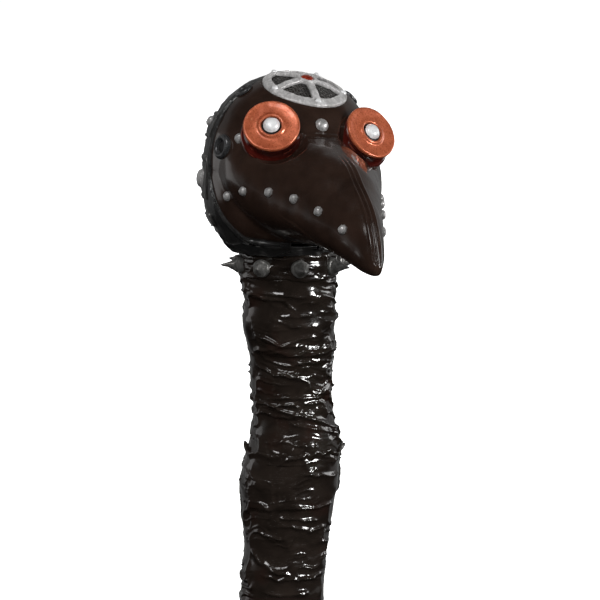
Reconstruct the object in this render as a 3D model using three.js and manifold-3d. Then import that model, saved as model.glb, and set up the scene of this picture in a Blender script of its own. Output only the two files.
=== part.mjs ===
// A plague doctor head on a wrapped grip: the top of a costume cane.
// Units are millimetres. +Z runs up the grip and the beak points towards -Y.
// The origin is the centre of the flat end face of the ferrule.
import * as THREE from "three";
import { mergeVertices } from "three/addons/utils/BufferGeometryUtils.js";
import Module from "manifold-3d";

const wasm = await Module();
wasm.setup();

// ---------------------------------------------------------------- driving dimensions
const GAP = 0.3; // clearance kept between neighbouring pieces
const EPS = 0.5; // how far a cutting tool runs past what it cuts

const HEAD_RADIUS = 28.7;
const HEAD_CENTRE = new THREE.Vector3(2.7, 0, 170);
const HEAD_LEAN = 5.3; // degrees towards +X
const HEAD_SEGMENTS = 34;
const FORM_SCALE = 0.85; // the head form against the outside of the head
const BORE_SCALE = 0.862; // the inside of the mask and the hood
const JOWL_LEVEL = -6; // below this the head is fuller than a ball
const JOWL_DEPTH = 27;
const JOWL_RADIUS = 28.1;

const FACE_EDGE = 1.5; // how far forward of the centre the edge of the mask lies
const JAW_LEVEL = -8; // below this the edge of the mask runs forward along the jaw
const JAW_SLOPE = 0.55;
const CHIN_LEVEL = -26.6;
const WELT_HALF = 0.9;
const WELT_SEAT = WELT_HALF + GAP;
const WELT_TOP = 17.8; // below the upper eyelet
const WELT_STEPS = 22;
const WELT_CHIN_AZIMUTH = 14; // where each welt stops under the chin, in degrees

// Sections across the beak: how far forward, half width, top, widest level, bottom.
const BEAK_STATIONS = [
  [3, 27.9, 17.5, -0.8, -26.6],
  [12, 27.6, 15, -3, -26.6],
  [22, 24.8, 12, -7, -26.3],
  [30, 21.3, 9, -10, -25.8],
  [40, 17.4, 6.2, -12.5, -25.2],
  [51, 13.2, 2.6, -14.5, -26],
  [59, 10.1, -2.6, -16.5, -27.3],
  [66, 7.3, -7.2, -19, -28.8],
  [72, 5.2, -12.2, -21.5, -29.8],
  [77, 3.4, -18.7, -24.8, -30.2],
  [80.3, 1.6, -25, -27.5, -29.8],
];
const BEAK_SEGMENTS = 26;

const WHEEL_TILT = 19; // degrees forward from the top of the head
const WHEEL_RADIUS = 14.3;
const WHEEL_RIM = 2.8;
const WHEEL_THICK = 1.3;
const WHEEL_SINK = 0.8; // how deep the wheel is let into the crown
const WHEEL_SPOKES = 5;
const SPOKE_WIDTH = 2.5;
const HUB_RADIUS = 3.4;
const JEWEL_RADIUS = 2.1;
const JEWEL_HEIGHT = 1.9;
const RIVET_RADIUS = 0.95;
const VENT_RADIUS = 12.2;
const VENT_DEPTH = 2.3;

const GOGGLE_PLACE = new THREE.Vector3(17.6, -25.4, 11.6); // centre of the flange, for the +X side
const GOGGLE_PITCH = 32; // degrees that both goggles look upwards
const GOGGLE_SPLAY = { left: -26, right: 15 }; // degrees that each looks sideways
const FLANGE_RADIUS = 9.25;
const FLANGE_THICK = 1.7;
const BARREL_RADIUS = 8.7;
const BARREL_FOOT = 9.2;
const BARREL_LENGTH = 8.2;
const BOSS_RADIUS = 2.85;
const BOSS_SEAT = 3.15;

const STRAP_THICK = 1.1;
const STRAP_END = 98; // degrees from straight ahead where the straps begin
const STRAPS = {
  rear_strap_upper: [5.2, 13.6],
  rear_strap_lower: [-15.4, -0.6],
  nape_strap: [-24.4, -20],
};
const CROWN_STRAP = { half: 4, low: 14.4, high: 22.6 };

const EYELET_OUTER = 4.1;
const EYELET_INNER = 2.1;
const EYELET_HEIGHT = 1.1;
const EYELET_BEVEL = 0.5;
const EYELETS = { lower: [73, 2.9, 1], upper: [84.5, 21.5, 0.75] }; // azimuth, height, size

const STUD_RADIUS = 1.8;
const STUD_HEIGHT = 1.2;
const CHEEK_STUDS = 6;
const CHEEK_FIRST = 11.4; // how far forward the first cheek stud lies
const CHEEK_STEP = 11;
const CHEEK_CREST = { forward: 34, level: -9.2, fall: 0.0075 };

const COLLAR_BOTTOM = 130.6;
const COLLAR_TOP = 139;
const COLLAR_OUTER = 16.7;
const COLLAR_INNER = 14.4;
const COLLAR_X = 2.4;
const SPIKES = 8;
const SPIKE_FIRST = -9; // degrees from straight ahead towards +X
const SPIKE_RADIUS = 2.9;
const SPIKE_LENGTH = 6.8;

const NECK_LEVEL = 142; // where the head form stands on the grip core
const NECK_RADIUS = 17;
const CORE_RADIUS = 10.8;
const DOWEL_RADIUS = 4;
const DOWEL_BOTTOM = 118;
const DOWEL_TOP = 162;
const WRAP_SPLIT = 71.4; // where the lower wrap begins over the upper one
const WRAP_TOP = 130.2;
const WRAP_SEGMENTS = 22;
const WRAP_STEPS = 16;
const WRAP_FOLD = 0.55; // depth of the wrap's waves
const FERRULE_TOP = 14;
const FERRULE_RADIUS = 14.4;

// How the middle of the grip wanders sideways (height, x) and how thick the wrap is (height, radius).
const GRIP_LINE = [
  [0, 0], [24, 0], [38, 1.2], [51, 1.9], [65, 2.9], [75, 4.3],
  [85, 4], [93, 3.2], [103, 3.4], [115, 2.5], [140, 2.4],
];
const WRAP_PROFILE = [
  [14, 13.6], [30, 13.7], [38, 13.5], [45, 14.7], [52, 15.7], [58, 16.2],
  [66, 16.4], [71, 15.9], [78, 14.6], [85, 13.6], [92, 13.7], [99, 14.1],
  [105, 14.7], [112, 15.4], [116, 15.8], [122, 15.2], [126, 15.9], [131, 15.6],
];

// ---------------------------------------------------------------- materials
const finish = (color, roughness, metalness) =>
  new THREE.MeshStandardMaterial({ color, roughness, metalness });
const MASK_RESIN = finish(0x2a1d17, 0.25, 0);
const HOOD_RESIN = finish(0x2b2a2a, 0.35, 0);
const STRAP_RESIN = finish(0x1f1e1e, 0.4, 0);
const OLD_SILVER = finish(0xb2aead, 0.4, 0.8);
const COPPER = finish(0xb76b4e, 0.35, 0.8);
const OXBLOOD = finish(0x2c120c, 0.25, 0);
const BLACK_RUBBER = finish(0x151413, 0.6, 0);
const DARK_MESH = finish(0x2e2c2b, 0.6, 0.4);
const RED_JEWEL = finish(0x4b2e26, 0.15, 0);
const WRAP_RESIN = finish(0x1d1914, 0.2, 0);
const STICK_WOOD = finish(0x8a6844, 0.7, 0);
const STEEL = finish(0x8d8d90, 0.35, 0.9);

// ---------------------------------------------------------------- solids
const radians = THREE.MathUtils.degToRad;

function solidOf(geometry) {
  const bare = geometry.index ? geometry.toNonIndexed() : geometry.clone();
  bare.deleteAttribute("normal");
  bare.deleteAttribute("uv");
  const merged = mergeVertices(bare, 1e-4);
  return new wasm.Manifold(
    new wasm.Mesh({
      numProp: 3,
      vertProperties: merged.attributes.position.array,
      triVerts: new Uint32Array(merged.index.array),
    }),
  );
}

function geometryOf(solid) {
  const mesh = solid.getMesh();
  return new THREE.BufferGeometry()
    .setAttribute("position", new THREE.BufferAttribute(mesh.vertProperties, 3))
    .setIndex(new THREE.BufferAttribute(mesh.triVerts, 1));
}

function addMesh(parent, name, shape, material) {
  const geometry = shape.isBufferGeometry ? shape : geometryOf(shape);
  const mesh = new THREE.Mesh(geometry, material);
  mesh.name = name;
  parent.add(mesh);
  return mesh;
}

// Turns a profile of [radius, height] pairs, listed upwards along the outside, about +Z.
function turned(profile, segments) {
  const points = profile.map(([r, z]) => new THREE.Vector2(r, z));
  return new THREE.LatheGeometry(points, segments).rotateX(Math.PI / 2);
}

// A closed skin through rings of points that all have the same count.
function lofted(rings) {
  const count = rings[0].length;
  const positions = rings.flat().flatMap((p) => [p.x, p.y, p.z]);
  const index = [];
  for (let i = 0; i + 1 < rings.length; i++) {
    for (let j = 0; j < count; j++) {
      const a = i * count + j;
      const b = i * count + ((j + 1) % count);
      index.push(a, b, b + count, a, b + count, a + count);
    }
  }
  const cap = (start, inward) => {
    for (let j = 1; j + 1 < count; j++) {
      index.push(start, start + (inward ? j + 1 : j), start + (inward ? j : j + 1));
    }
  };
  cap(0, true);
  cap((rings.length - 1) * count, false);
  return new THREE.BufferGeometry()
    .setAttribute("position", new THREE.Float32BufferAttribute(positions, 3))
    .setIndex(index);
}

function boxAt(x0, x1, y0, y1, z0, z1) {
  const box = new THREE.BoxGeometry(x1 - x0, y1 - y0, z1 - z0);
  return box.translate((x0 + x1) / 2, (y0 + y1) / 2, (z0 + z1) / 2);
}

function cylinderAt(radius, z0, z1, segments = 32) {
  return turned([[0, z0], [radius, z0], [radius, z1], [0, z1]], segments);
}

function interpolate(table, at) {
  const last = table.length - 1;
  if (at <= table[0][0]) return table[0].slice(1);
  if (at >= table[last][0]) return table[last].slice(1);
  const i = table.findIndex((row) => row[0] > at) - 1;
  const share = (at - table[i][0]) / (table[i + 1][0] - table[i][0]);
  return table[i].slice(1).map((v, k) => THREE.MathUtils.lerp(v, table[i + 1][k + 1], share));
}

// ---------------------------------------------------------------- the outside of the head
// Radius of the head about its own upright axis at height z.
function headRadius(z) {
  if (z > JOWL_LEVEL) return Math.sqrt(Math.max(HEAD_RADIUS ** 2 - z * z, 0));
  const share = Math.min((JOWL_LEVEL - z) / JOWL_DEPTH, 1);
  return JOWL_RADIUS * (1 - share ** 3) ** (1 / 2.2);
}

// A point on the head at an azimuth in degrees (0 ahead, 90 towards +X), lifted off it.
function headPoint(azimuth, z, lift = 0) {
  const r = headRadius(z) + lift;
  return new THREE.Vector3(r * Math.sin(radians(azimuth)), -r * Math.cos(radians(azimuth)), z);
}

function headNormal(azimuth, z) {
  const slope = (headRadius(z + 0.2) - headRadius(z - 0.2)) / 0.4;
  const out = new THREE.Vector3(Math.sin(radians(azimuth)), -Math.cos(radians(azimuth)), -slope);
  return out.normalize();
}

function headSolid(scale, segments = HEAD_SEGMENTS) {
  const bottom = JOWL_LEVEL - JOWL_DEPTH;
  const profile = [[0, bottom * scale]];
  const jowlRows = 7;
  for (let i = 1; i < jowlRows; i++) {
    const z = JOWL_LEVEL - JOWL_DEPTH * Math.cos((i / jowlRows) * (Math.PI / 2)) ** 0.8;
    profile.push([headRadius(z) * scale, z * scale]);
  }
  const domeRows = 10;
  const start = Math.asin(JOWL_LEVEL / HEAD_RADIUS);
  for (let i = 0; i < domeRows; i++) {
    const angle = THREE.MathUtils.lerp(start, Math.PI / 2, i / domeRows);
    profile.push([HEAD_RADIUS * scale * Math.cos(angle), HEAD_RADIUS * scale * Math.sin(angle)]);
  }
  profile.push([0, HEAD_RADIUS * scale]);
  return solidOf(turned(profile, segments));
}

function beakSolid() {
  const rings = BEAK_STATIONS.map(([forward, half, top, widest, bottom]) => {
    const ring = [];
    for (let j = 0; j < BEAK_SEGMENTS; j++) {
      const angle = (j / BEAK_SEGMENTS) * 2 * Math.PI;
      const reach = Math.sin(angle) > 0 ? top - widest : widest - bottom;
      ring.push(
        new THREE.Vector3(half * Math.cos(angle), -forward, widest + reach * Math.sin(angle)),
      );
    }
    return ring;
  });
  return solidOf(lofted(rings));
}

// Half the width of the beak at a distance forward and a height.
function beakHalfWidth(forward, z) {
  const [half, top, widest, bottom] = interpolate(BEAK_STATIONS, forward);
  const share = (z - widest) / (z > widest ? top - widest : widest - bottom);
  return half * Math.sqrt(Math.max(1 - share * share, 0));
}

// Half the width of the whole face there, where the dome may lie outside the beak.
function faceHalfWidth(forward, z) {
  const dome = Math.sqrt(Math.max(headRadius(z) ** 2 - forward ** 2, 0));
  return Math.max(beakHalfWidth(forward, z), dome);
}

// Everything in front of the edge of the mask, which turns forward along the jaw, above a floor.
function frontOfEdge(seat, floor) {
  const far = 120;
  const front = solidOf(boxAt(-far, far, -far, -(FACE_EDGE + seat), floor, far));
  const jaw = boxAt(-far, far, -far, 0, -far, far);
  jaw.translate(0, -seat, 0).rotateX(-Math.atan(JAW_SLOPE));
  jaw.translate(0, -FACE_EDGE, JAW_LEVEL);
  return front.intersect(solidOf(jaw));
}

// ---------------------------------------------------------------- placing small pieces
function placedOn(mesh, point, normal) {
  mesh.position.copy(point);
  mesh.quaternion.setFromUnitVectors(new THREE.Vector3(0, 0, 1), normal);
  return mesh;
}

function domeCap(radius, height, segments = 12) {
  const profile = [[0, 0], [radius, 0], [radius, height * 0.15]];
  for (let i = 1; i < 4; i++) {
    const angle = (i / 4) * (Math.PI / 2);
    profile.push([radius * Math.cos(angle), height * (0.15 + 0.85 * Math.sin(angle))]);
  }
  profile.push([0, height]);
  return turned(profile, segments);
}

function eyeletRing(size) {
  const shoulder = EYELET_HEIGHT - EYELET_BEVEL;
  const profile = [
    [EYELET_INNER, 0],
    [EYELET_OUTER, 0],
    [EYELET_OUTER, shoulder],
    [EYELET_OUTER - EYELET_BEVEL, EYELET_HEIGHT],
    [EYELET_INNER + EYELET_BEVEL, EYELET_HEIGHT],
    [EYELET_INNER, shoulder],
    [EYELET_INNER, 0],
  ];
  return turned(profile.map(([r, z]) => [r * size, z]), 16);
}

// ---------------------------------------------------------------- head pieces
const head = new THREE.Group();
head.position.copy(HEAD_CENTRE);
head.rotation.y = radians(HEAD_LEAN);
head.updateMatrix();
const intoHead = head.matrix.clone().invert();

const crown = new THREE.Group();
crown.rotation.x = radians(WHEEL_TILT);
crown.updateMatrix();

function ball(radius) {
  return solidOf(new THREE.SphereGeometry(radius, 34, 22));
}

// A round pocket of one depth in the crown.
function crownPocket(radius, depth) {
  return solidOf(cylinderAt(radius, 12, 40, 40)).subtract(ball(HEAD_RADIUS - depth));
}

// The recess in the crown: a seat for the wheel, and deeper inside its rim a seat for the mesh.
function ventRecess() {
  const seat = crownPocket(WHEEL_RADIUS + GAP, WHEEL_SINK + GAP);
  const recess = seat.add(crownPocket(VENT_RADIUS, VENT_DEPTH));
  return solidOf(geometryOf(recess).applyMatrix4(crown.matrix));
}

function goggleFrame(side) {
  const sign = side === "left" ? -1 : 1;
  const frame = new THREE.Group();
  frame.position.set(sign * GOGGLE_PLACE.x, GOGGLE_PLACE.y, GOGGLE_PLACE.z);
  const splay = radians(GOGGLE_SPLAY[side]);
  const pitch = radians(GOGGLE_PITCH);
  const look = new THREE.Vector3(
    Math.cos(pitch) * Math.sin(splay),
    -Math.cos(pitch) * Math.cos(splay),
    Math.sin(pitch),
  );
  frame.quaternion.setFromUnitVectors(new THREE.Vector3(0, 0, 1), look);
  frame.updateMatrix();
  return frame;
}

// The tube that carries the copper flange, with a flared foot in the mask.
function barrelShape(grow) {
  const foot = -BARREL_LENGTH;
  const profile = [
    [0, foot - grow],
    [BARREL_FOOT + grow, foot - grow],
    [BARREL_FOOT + grow, foot + 1.6],
    [BARREL_RADIUS + grow, foot + 3],
    [BARREL_RADIUS + grow, -FLANGE_THICK / 2 - GAP],
    [0, -FLANGE_THICK / 2 - GAP],
  ];
  return turned(profile, 26);
}

function flangeShape() {
  const base = -FLANGE_THICK / 2;
  const face = FLANGE_THICK / 2;
  const profile = [
    [BOSS_SEAT + GAP, base],
    [FLANGE_RADIUS - 0.5, base],
    [FLANGE_RADIUS, base + 0.5],
    [FLANGE_RADIUS, face - 0.5],
    [FLANGE_RADIUS - 0.5, face],
    [FLANGE_RADIUS - 1.1, face - 0.1],
    [6.4, face - 0.45],
    [4.6, face - 0.3],
    [4.2, face + 0.15],
    [BOSS_SEAT + GAP, face + 0.1],
    [BOSS_SEAT + GAP, base],
  ];
  return turned(profile, 26);
}

function gasketShape() {
  const base = -FLANGE_THICK / 2;
  return cylinderAt(BOSS_SEAT, base, FLANGE_THICK / 2 - 0.2, 18);
}

function addGoggle(side) {
  const frame = goggleFrame(side);
  head.add(frame);
  const barrel = solidOf(barrelShape(0).applyMatrix4(frame.matrix)).subtract(headSolid(BORE_SCALE));
  addMesh(head, `goggle_barrel_${side}`, barrel, OXBLOOD);
  addMesh(frame, `goggle_flange_${side}`, flangeShape(), COPPER);
  addMesh(frame, `goggle_gasket_${side}`, gasketShape(), BLACK_RUBBER);
  const boss = addMesh(frame, `goggle_boss_${side}`, domeCap(BOSS_RADIUS, 1.5, 18), OLD_SILVER);
  boss.position.z = FLANGE_THICK / 2 - 0.2 + GAP;
  return solidOf(barrelShape(GAP + 0.1).applyMatrix4(frame.matrix));
}

// A world-level box below a height, brought into the head's leaning frame.
function belowLevel(level) {
  return solidOf(boxAt(-60, 60, -60, 60, 60, level).applyMatrix4(intoHead));
}

function largestBody(solid) {
  return solid.decompose().reduce((best, body) => (body.volume() > best.volume() ? body : best));
}

function addCasing(barrels) {
  const outside = headSolid(1);
  const bore = headSolid(BORE_SCALE);
  const vent = ventRecess();
  const face = outside.intersect(frontOfEdge(WELT_SEAT, CHIN_LEVEL));
  const beak = beakSolid().intersect(frontOfEdge(WELT_SEAT, -40));
  const welts = [-1, 1].map((sign) => solidOf(weltShape(sign, GAP)));
  let mask = face.add(beak).subtract(bore).subtract(vent);
  for (const tool of [...barrels, ...welts]) mask = mask.subtract(tool);
  addMesh(head, "mask_shell", largestBody(mask), MASK_RESIN);

  const neck = solidOf(cylinderAt(NECK_RADIUS, -40, -24, HEAD_SEGMENTS));
  const socket = cylinderAt(CORE_RADIUS + GAP, COLLAR_BOTTOM, NECK_LEVEL, 28).translate(COLLAR_X, 0, 0);
  let hood = outside
    .add(neck)
    .subtract(frontOfEdge(-WELT_SEAT, CHIN_LEVEL - 2 * WELT_SEAT))
    .subtract(bore)
    .subtract(vent)
    .subtract(belowLevel(COLLAR_TOP + GAP))
    .subtract(solidOf(socket.applyMatrix4(intoHead)));
  for (const welt of welts) hood = hood.subtract(welt);
  addMesh(head, "hood_shell", largestBody(hood), HOOD_RESIN);

  const dowelHole = cylinderAt(DOWEL_RADIUS + GAP, 100, DOWEL_TOP + GAP, 20);
  dowelHole.translate(COLLAR_X, 0, 0).applyMatrix4(intoHead);
  const form = headSolid(FORM_SCALE, 26)
    .subtract(belowLevel(NECK_LEVEL))
    .subtract(solidOf(dowelHole));
  addMesh(head, "head_form", form, STICK_WOOD);
}

// The rolled edge between the mask and the hood, from below the upper eyelet down to the chin.
function weltPath(sign) {
  const places = [];
  const bottom = CHIN_LEVEL - WELT_SEAT;
  for (let i = 0; i <= WELT_STEPS; i++) {
    const z = THREE.MathUtils.lerp(WELT_TOP, bottom, i / WELT_STEPS);
    const forward = FACE_EDGE + Math.max(JAW_LEVEL - z, 0) * JAW_SLOPE;
    const azimuth = THREE.MathUtils.radToDeg(Math.acos(forward / headRadius(z)));
    places.push([sign * azimuth, z]);
  }
  const corner = Math.abs(places[WELT_STEPS][0]);
  const chinSteps = 6;
  for (let i = 1; i <= chinSteps; i++) {
    places.push([sign * THREE.MathUtils.lerp(corner, WELT_CHIN_AZIMUTH, i / chinSteps), bottom]);
  }
  return places;
}

function weltShape(sign, grow = 0) {
  const half = WELT_HALF + grow;
  const section = [
    [-3 - grow, -half],
    [0.5 + grow, -half],
    [1 + grow, -half * 0.5],
    [1 + grow, half * 0.5],
    [0.5 + grow, half],
    [-3 - grow, half],
  ];
  const places = weltPath(sign);
  const points = places.map(([azimuth, z]) => headPoint(azimuth, z));
  const rings = places.map(([azimuth, z], i) => {
    const before = points[Math.max(i - 1, 0)];
    const after = points[Math.min(i + 1, points.length - 1)];
    const out = headNormal(azimuth, z);
    const across = new THREE.Vector3().subVectors(after, before).normalize().cross(out).normalize();
    return section.map(([lift, side]) =>
      points[i].clone().addScaledVector(out, lift).addScaledVector(across, side),
    );
  });
  return lofted(rings);
}

// A band that lies round the back of the hood between two heights.
function bandShape(low, high) {
  const steps = 18;
  const rows = 2;
  const rings = [];
  for (let i = 0; i <= steps; i++) {
    const azimuth = THREE.MathUtils.lerp(STRAP_END, 360 - STRAP_END, i / steps);
    const inner = [];
    const outer = [];
    for (let j = 0; j <= rows; j++) {
      const z = THREE.MathUtils.lerp(low, high, j / rows);
      const out = headNormal(azimuth, z);
      inner.push(headPoint(azimuth, z).addScaledVector(out, GAP));
      outer.unshift(headPoint(azimuth, z).addScaledVector(out, GAP + STRAP_THICK));
    }
    rings.push([...inner, ...outer]);
  }
  return lofted(rings);
}

// The strap from the wheel down the middle of the back.
function crownStrapSolid() {
  const { half, low, high } = CROWN_STRAP;
  const block = solidOf(boxAt(-half, half, 0, 2 * HEAD_RADIUS, low, high));
  return domeSkin(HEAD_RADIUS + GAP, HEAD_RADIUS + GAP + STRAP_THICK).intersect(block);
}

function addStraps() {
  for (const [name, [low, high]] of Object.entries(STRAPS)) {
    addMesh(head, name, bandShape(low, high), STRAP_RESIN);
  }
  addMesh(head, "crown_strap", crownStrapSolid(), STRAP_RESIN);
}

function addStud(name, azimuth, z, radius, height, lift = GAP) {
  const stud = addMesh(head, name, domeCap(radius, height), OLD_SILVER);
  const out = headNormal(azimuth, z);
  placedOn(stud, headPoint(azimuth, z).addScaledVector(out, lift), out);
}

function addFaceHardware() {
  addStud("brow_stud", 0, 13.1, 2.2, STUD_HEIGHT);
  const onStrap = STRAP_THICK + 2 * GAP;
  for (const [side, sign] of [["left", -1], ["right", 1]]) {
    addStud(`temple_stud_${side}`, sign * 62, 6.8, 2, STUD_HEIGHT);
    addStud(`rear_stud_upper_${side}`, sign * 107, 10.1, 2, 1.5, onStrap);
    addStud(`rear_stud_lower_${side}`, sign * 109, -9, 3.6, 2.2, onStrap);
    for (const [name, [azimuth, z, size]] of Object.entries(EYELETS)) {
      const ring = addMesh(head, `eyelet_${name}_${side}`, eyeletRing(size), STEEL);
      const out = headNormal(sign * azimuth, z);
      placedOn(ring, headPoint(sign * azimuth, z).addScaledVector(out, GAP + 0.1), out);
    }
    for (let i = 0; i < CHEEK_STUDS; i++) {
      const stud = domeCap(STUD_RADIUS, STUD_HEIGHT);
      const mesh = addMesh(head, `cheek_stud_${side}_${i + 1}`, stud, OLD_SILVER);
      placeCheekStud(mesh, i, sign);
    }
  }
}

// Sets a stud on the cheek, square to the skin there.
function placeCheekStud(stud, i, sign) {
  const forward = CHEEK_FIRST + i * CHEEK_STEP;
  const z = CHEEK_CREST.level - CHEEK_CREST.fall * (forward - CHEEK_CREST.forward) ** 2;
  const x = faceHalfWidth(forward, z);
  const step = 1.5;
  const along = (faceHalfWidth(forward + step, z) - faceHalfWidth(forward - step, z)) / (2 * step);
  const upward = (faceHalfWidth(forward, z + step) - faceHalfWidth(forward, z - step)) / (2 * step);
  const out = new THREE.Vector3(sign, along, -upward).normalize();
  placedOn(stud, new THREE.Vector3(sign * x, -forward, z).addScaledVector(out, GAP + 0.15), out);
}

// ---------------------------------------------------------------- crown wheel
function ringPoints(path, radius, from, to, steps) {
  for (let i = 0; i <= steps; i++) {
    const angle = THREE.MathUtils.lerp(from, to, i / steps);
    path.push(new THREE.Vector2(radius * Math.cos(angle), radius * Math.sin(angle)));
  }
}

// The opening between two spokes: an arc under the rim, an arc round the hub and two straight sides.
function wheelOpening(middle) {
  const outer = WHEEL_RADIUS - WHEEL_RIM;
  const half = Math.PI / WHEEL_SPOKES;
  const atRim = half - Math.asin(SPOKE_WIDTH / 2 / outer);
  const atHub = half - Math.asin(SPOKE_WIDTH / 2 / HUB_RADIUS);
  const points = [];
  ringPoints(points, outer, middle - atRim, middle + atRim, 6);
  const hub = [];
  ringPoints(hub, HUB_RADIUS, middle + atHub, middle - atHub, 2);
  return new THREE.Path([...points, ...hub]);
}

// The skin between two balls about the middle of the head.
function domeSkin(inner, outer) {
  return ball(outer).subtract(ball(inner));
}

function wheelSolid() {
  const outline = [];
  ringPoints(outline, WHEEL_RADIUS, 0, 2 * Math.PI * (1 - 1 / 40), 39);
  const shape = new THREE.Shape(outline);
  const front = -Math.PI / 2;
  for (let i = 0; i < WHEEL_SPOKES; i++) {
    shape.holes.push(wheelOpening(front + ((i + 0.5) * 2 * Math.PI) / WHEEL_SPOKES));
  }
  const seat = [];
  ringPoints(seat, JEWEL_RADIUS + GAP, 0, 2 * Math.PI * (1 - 1 / 16), 15);
  shape.holes.push(new THREE.Path(seat));
  const prism = new THREE.ExtrudeGeometry(shape, { depth: 30, bevelEnabled: false });
  prism.translate(0, 0, 12);
  const under = HEAD_RADIUS - WHEEL_SINK;
  const top = under + WHEEL_THICK;
  let wheel = domeSkin(under, top).intersect(solidOf(prism));
  for (let i = 0; i < WHEEL_SPOKES; i++) {
    const angle = front + (i * 2 * Math.PI) / WHEEL_SPOKES;
    const reach = WHEEL_RADIUS - WHEEL_RIM / 2;
    const height = Math.sqrt(top ** 2 - reach ** 2) - GAP;
    const rivet = domeCap(RIVET_RADIUS, 1.1, 10);
    rivet.translate(reach * Math.cos(angle), reach * Math.sin(angle), height);
    wheel = wheel.add(solidOf(rivet));
  }
  return wheel;
}

function meshCap() {
  const radius = VENT_RADIUS - GAP;
  const profile = [];
  const under = HEAD_RADIUS - VENT_DEPTH + GAP;
  const over = HEAD_RADIUS - WHEEL_SINK - GAP - 0.05;
  for (let i = 0; i <= 4; i++) {
    const r = (radius * i) / 4;
    profile.push([r, Math.sqrt(under ** 2 - r * r)]);
  }
  for (let i = 4; i >= 0; i--) {
    const r = (radius * i) / 4;
    profile.push([r, Math.sqrt(over ** 2 - r * r)]);
  }
  return turned(profile, 24);
}

function addCrown() {
  head.add(crown);
  addMesh(crown, "crown_wheel", wheelSolid(), OLD_SILVER);
  addMesh(crown, "crown_mesh", meshCap(), DARK_MESH);
  const jewel = addMesh(crown, "crown_jewel", domeCap(JEWEL_RADIUS, JEWEL_HEIGHT, 16), RED_JEWEL);
  jewel.position.z = HEAD_RADIUS - WHEEL_SINK;
}

function addHead() {
  addCasing([addGoggle("left"), addGoggle("right")]);
  addMesh(head, "rim_welt_left", weltShape(-1), STRAP_RESIN);
  addMesh(head, "rim_welt_right", weltShape(1), STRAP_RESIN);
  addStraps();
  addFaceHardware();
  addCrown();
}

// ---------------------------------------------------------------- collar and grip
function addCollar(parent) {
  const collar = new THREE.Group();
  collar.position.x = COLLAR_X;
  parent.add(collar);
  const bevel = 0.8;
  const profile = [
    [COLLAR_INNER, COLLAR_BOTTOM],
    [COLLAR_OUTER - bevel, COLLAR_BOTTOM],
    [COLLAR_OUTER, COLLAR_BOTTOM + bevel],
    [COLLAR_OUTER, COLLAR_TOP - bevel],
    [COLLAR_OUTER - bevel, COLLAR_TOP],
    [COLLAR_INNER, COLLAR_TOP],
    [COLLAR_INNER, COLLAR_BOTTOM],
  ];
  addMesh(collar, "collar_band", turned(profile, 30), STRAP_RESIN);
  const cone = [
    [0, 0],
    [SPIKE_RADIUS, 0],
    [SPIKE_RADIUS, 0.7],
    [0.35, SPIKE_LENGTH - 0.2],
    [0, SPIKE_LENGTH],
  ];
  for (let i = 0; i < SPIKES; i++) {
    const angle = radians(SPIKE_FIRST + (i * 360) / SPIKES);
    const out = new THREE.Vector3(Math.sin(angle), -Math.cos(angle), 0);
    const spike = addMesh(collar, `collar_spike_${i + 1}`, turned(cone, 12), OLD_SILVER);
    const seat = out.clone().multiplyScalar(COLLAR_OUTER + GAP);
    seat.z = (COLLAR_BOTTOM + COLLAR_TOP) / 2;
    placedOn(spike, seat, out);
  }
}

function gripRing(z, radius, segments, fold = 0) {
  const [x] = interpolate(GRIP_LINE, z);
  const ring = [];
  for (let j = 0; j < segments; j++) {
    const angle = (j / segments) * 2 * Math.PI;
    const swell = fold * Math.sin(3 * angle + z * 0.9) * Math.sin(z * 0.47 + angle);
    const r = radius + swell;
    ring.push(new THREE.Vector3(x + r * Math.cos(angle), r * Math.sin(angle), z));
  }
  return ring;
}

function gripSolid(levels, radiusAt, segments, fold) {
  return solidOf(lofted(levels.map((z) => gripRing(z, radiusAt(z), segments, fold))));
}

function evenly(from, to, steps) {
  return Array.from({ length: steps + 1 }, (_, i) => THREE.MathUtils.lerp(from, to, i / steps));
}

function addWrap(parent, name, from, to) {
  const radiusAt = (z) => interpolate(WRAP_PROFILE, z)[0];
  const skin = gripSolid(evenly(from, to, WRAP_STEPS), radiusAt, WRAP_SEGMENTS, WRAP_FOLD);
  const hole = gripSolid(evenly(from - EPS, to + EPS, 8), () => CORE_RADIUS + GAP, 16);
  addMesh(parent, name, skin.subtract(hole), WRAP_RESIN);
}

function addGrip(parent) {
  const coreTop = NECK_LEVEL - GAP;
  const core = gripSolid(evenly(FERRULE_TOP + GAP, coreTop, 10), () => CORE_RADIUS, 16);
  const hole = cylinderAt(DOWEL_RADIUS + GAP, DOWEL_BOTTOM - GAP, coreTop + EPS, 20);
  hole.translate(COLLAR_X, 0, 0);
  addMesh(parent, "grip_core", core.subtract(solidOf(hole)), STICK_WOOD);
  const pin = cylinderAt(DOWEL_RADIUS, DOWEL_BOTTOM, DOWEL_TOP, 18);
  addMesh(parent, "neck_dowel", pin.translate(COLLAR_X, 0, 0), STEEL);
  addWrap(parent, "grip_wrap_upper", WRAP_SPLIT + GAP / 2, WRAP_TOP);
  addWrap(parent, "grip_wrap_lower", FERRULE_TOP + GAP, WRAP_SPLIT - GAP / 2);
  const bevel = 0.8;
  const profile = [
    [0, 0],
    [FERRULE_RADIUS - bevel, 0],
    [FERRULE_RADIUS, bevel],
    [FERRULE_RADIUS, FERRULE_TOP],
    [0, FERRULE_TOP],
  ];
  addMesh(parent, "end_ferrule", turned(profile, 30), STEEL);
}

// ---------------------------------------------------------------- the assembly
const cane = new THREE.Group();
addHead();
cane.add(head);
addCollar(cane);
addGrip(cane);

export default cane;
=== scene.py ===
import math

import bmesh
import bpy
import numpy as np
from mathutils import Matrix, Vector


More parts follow.
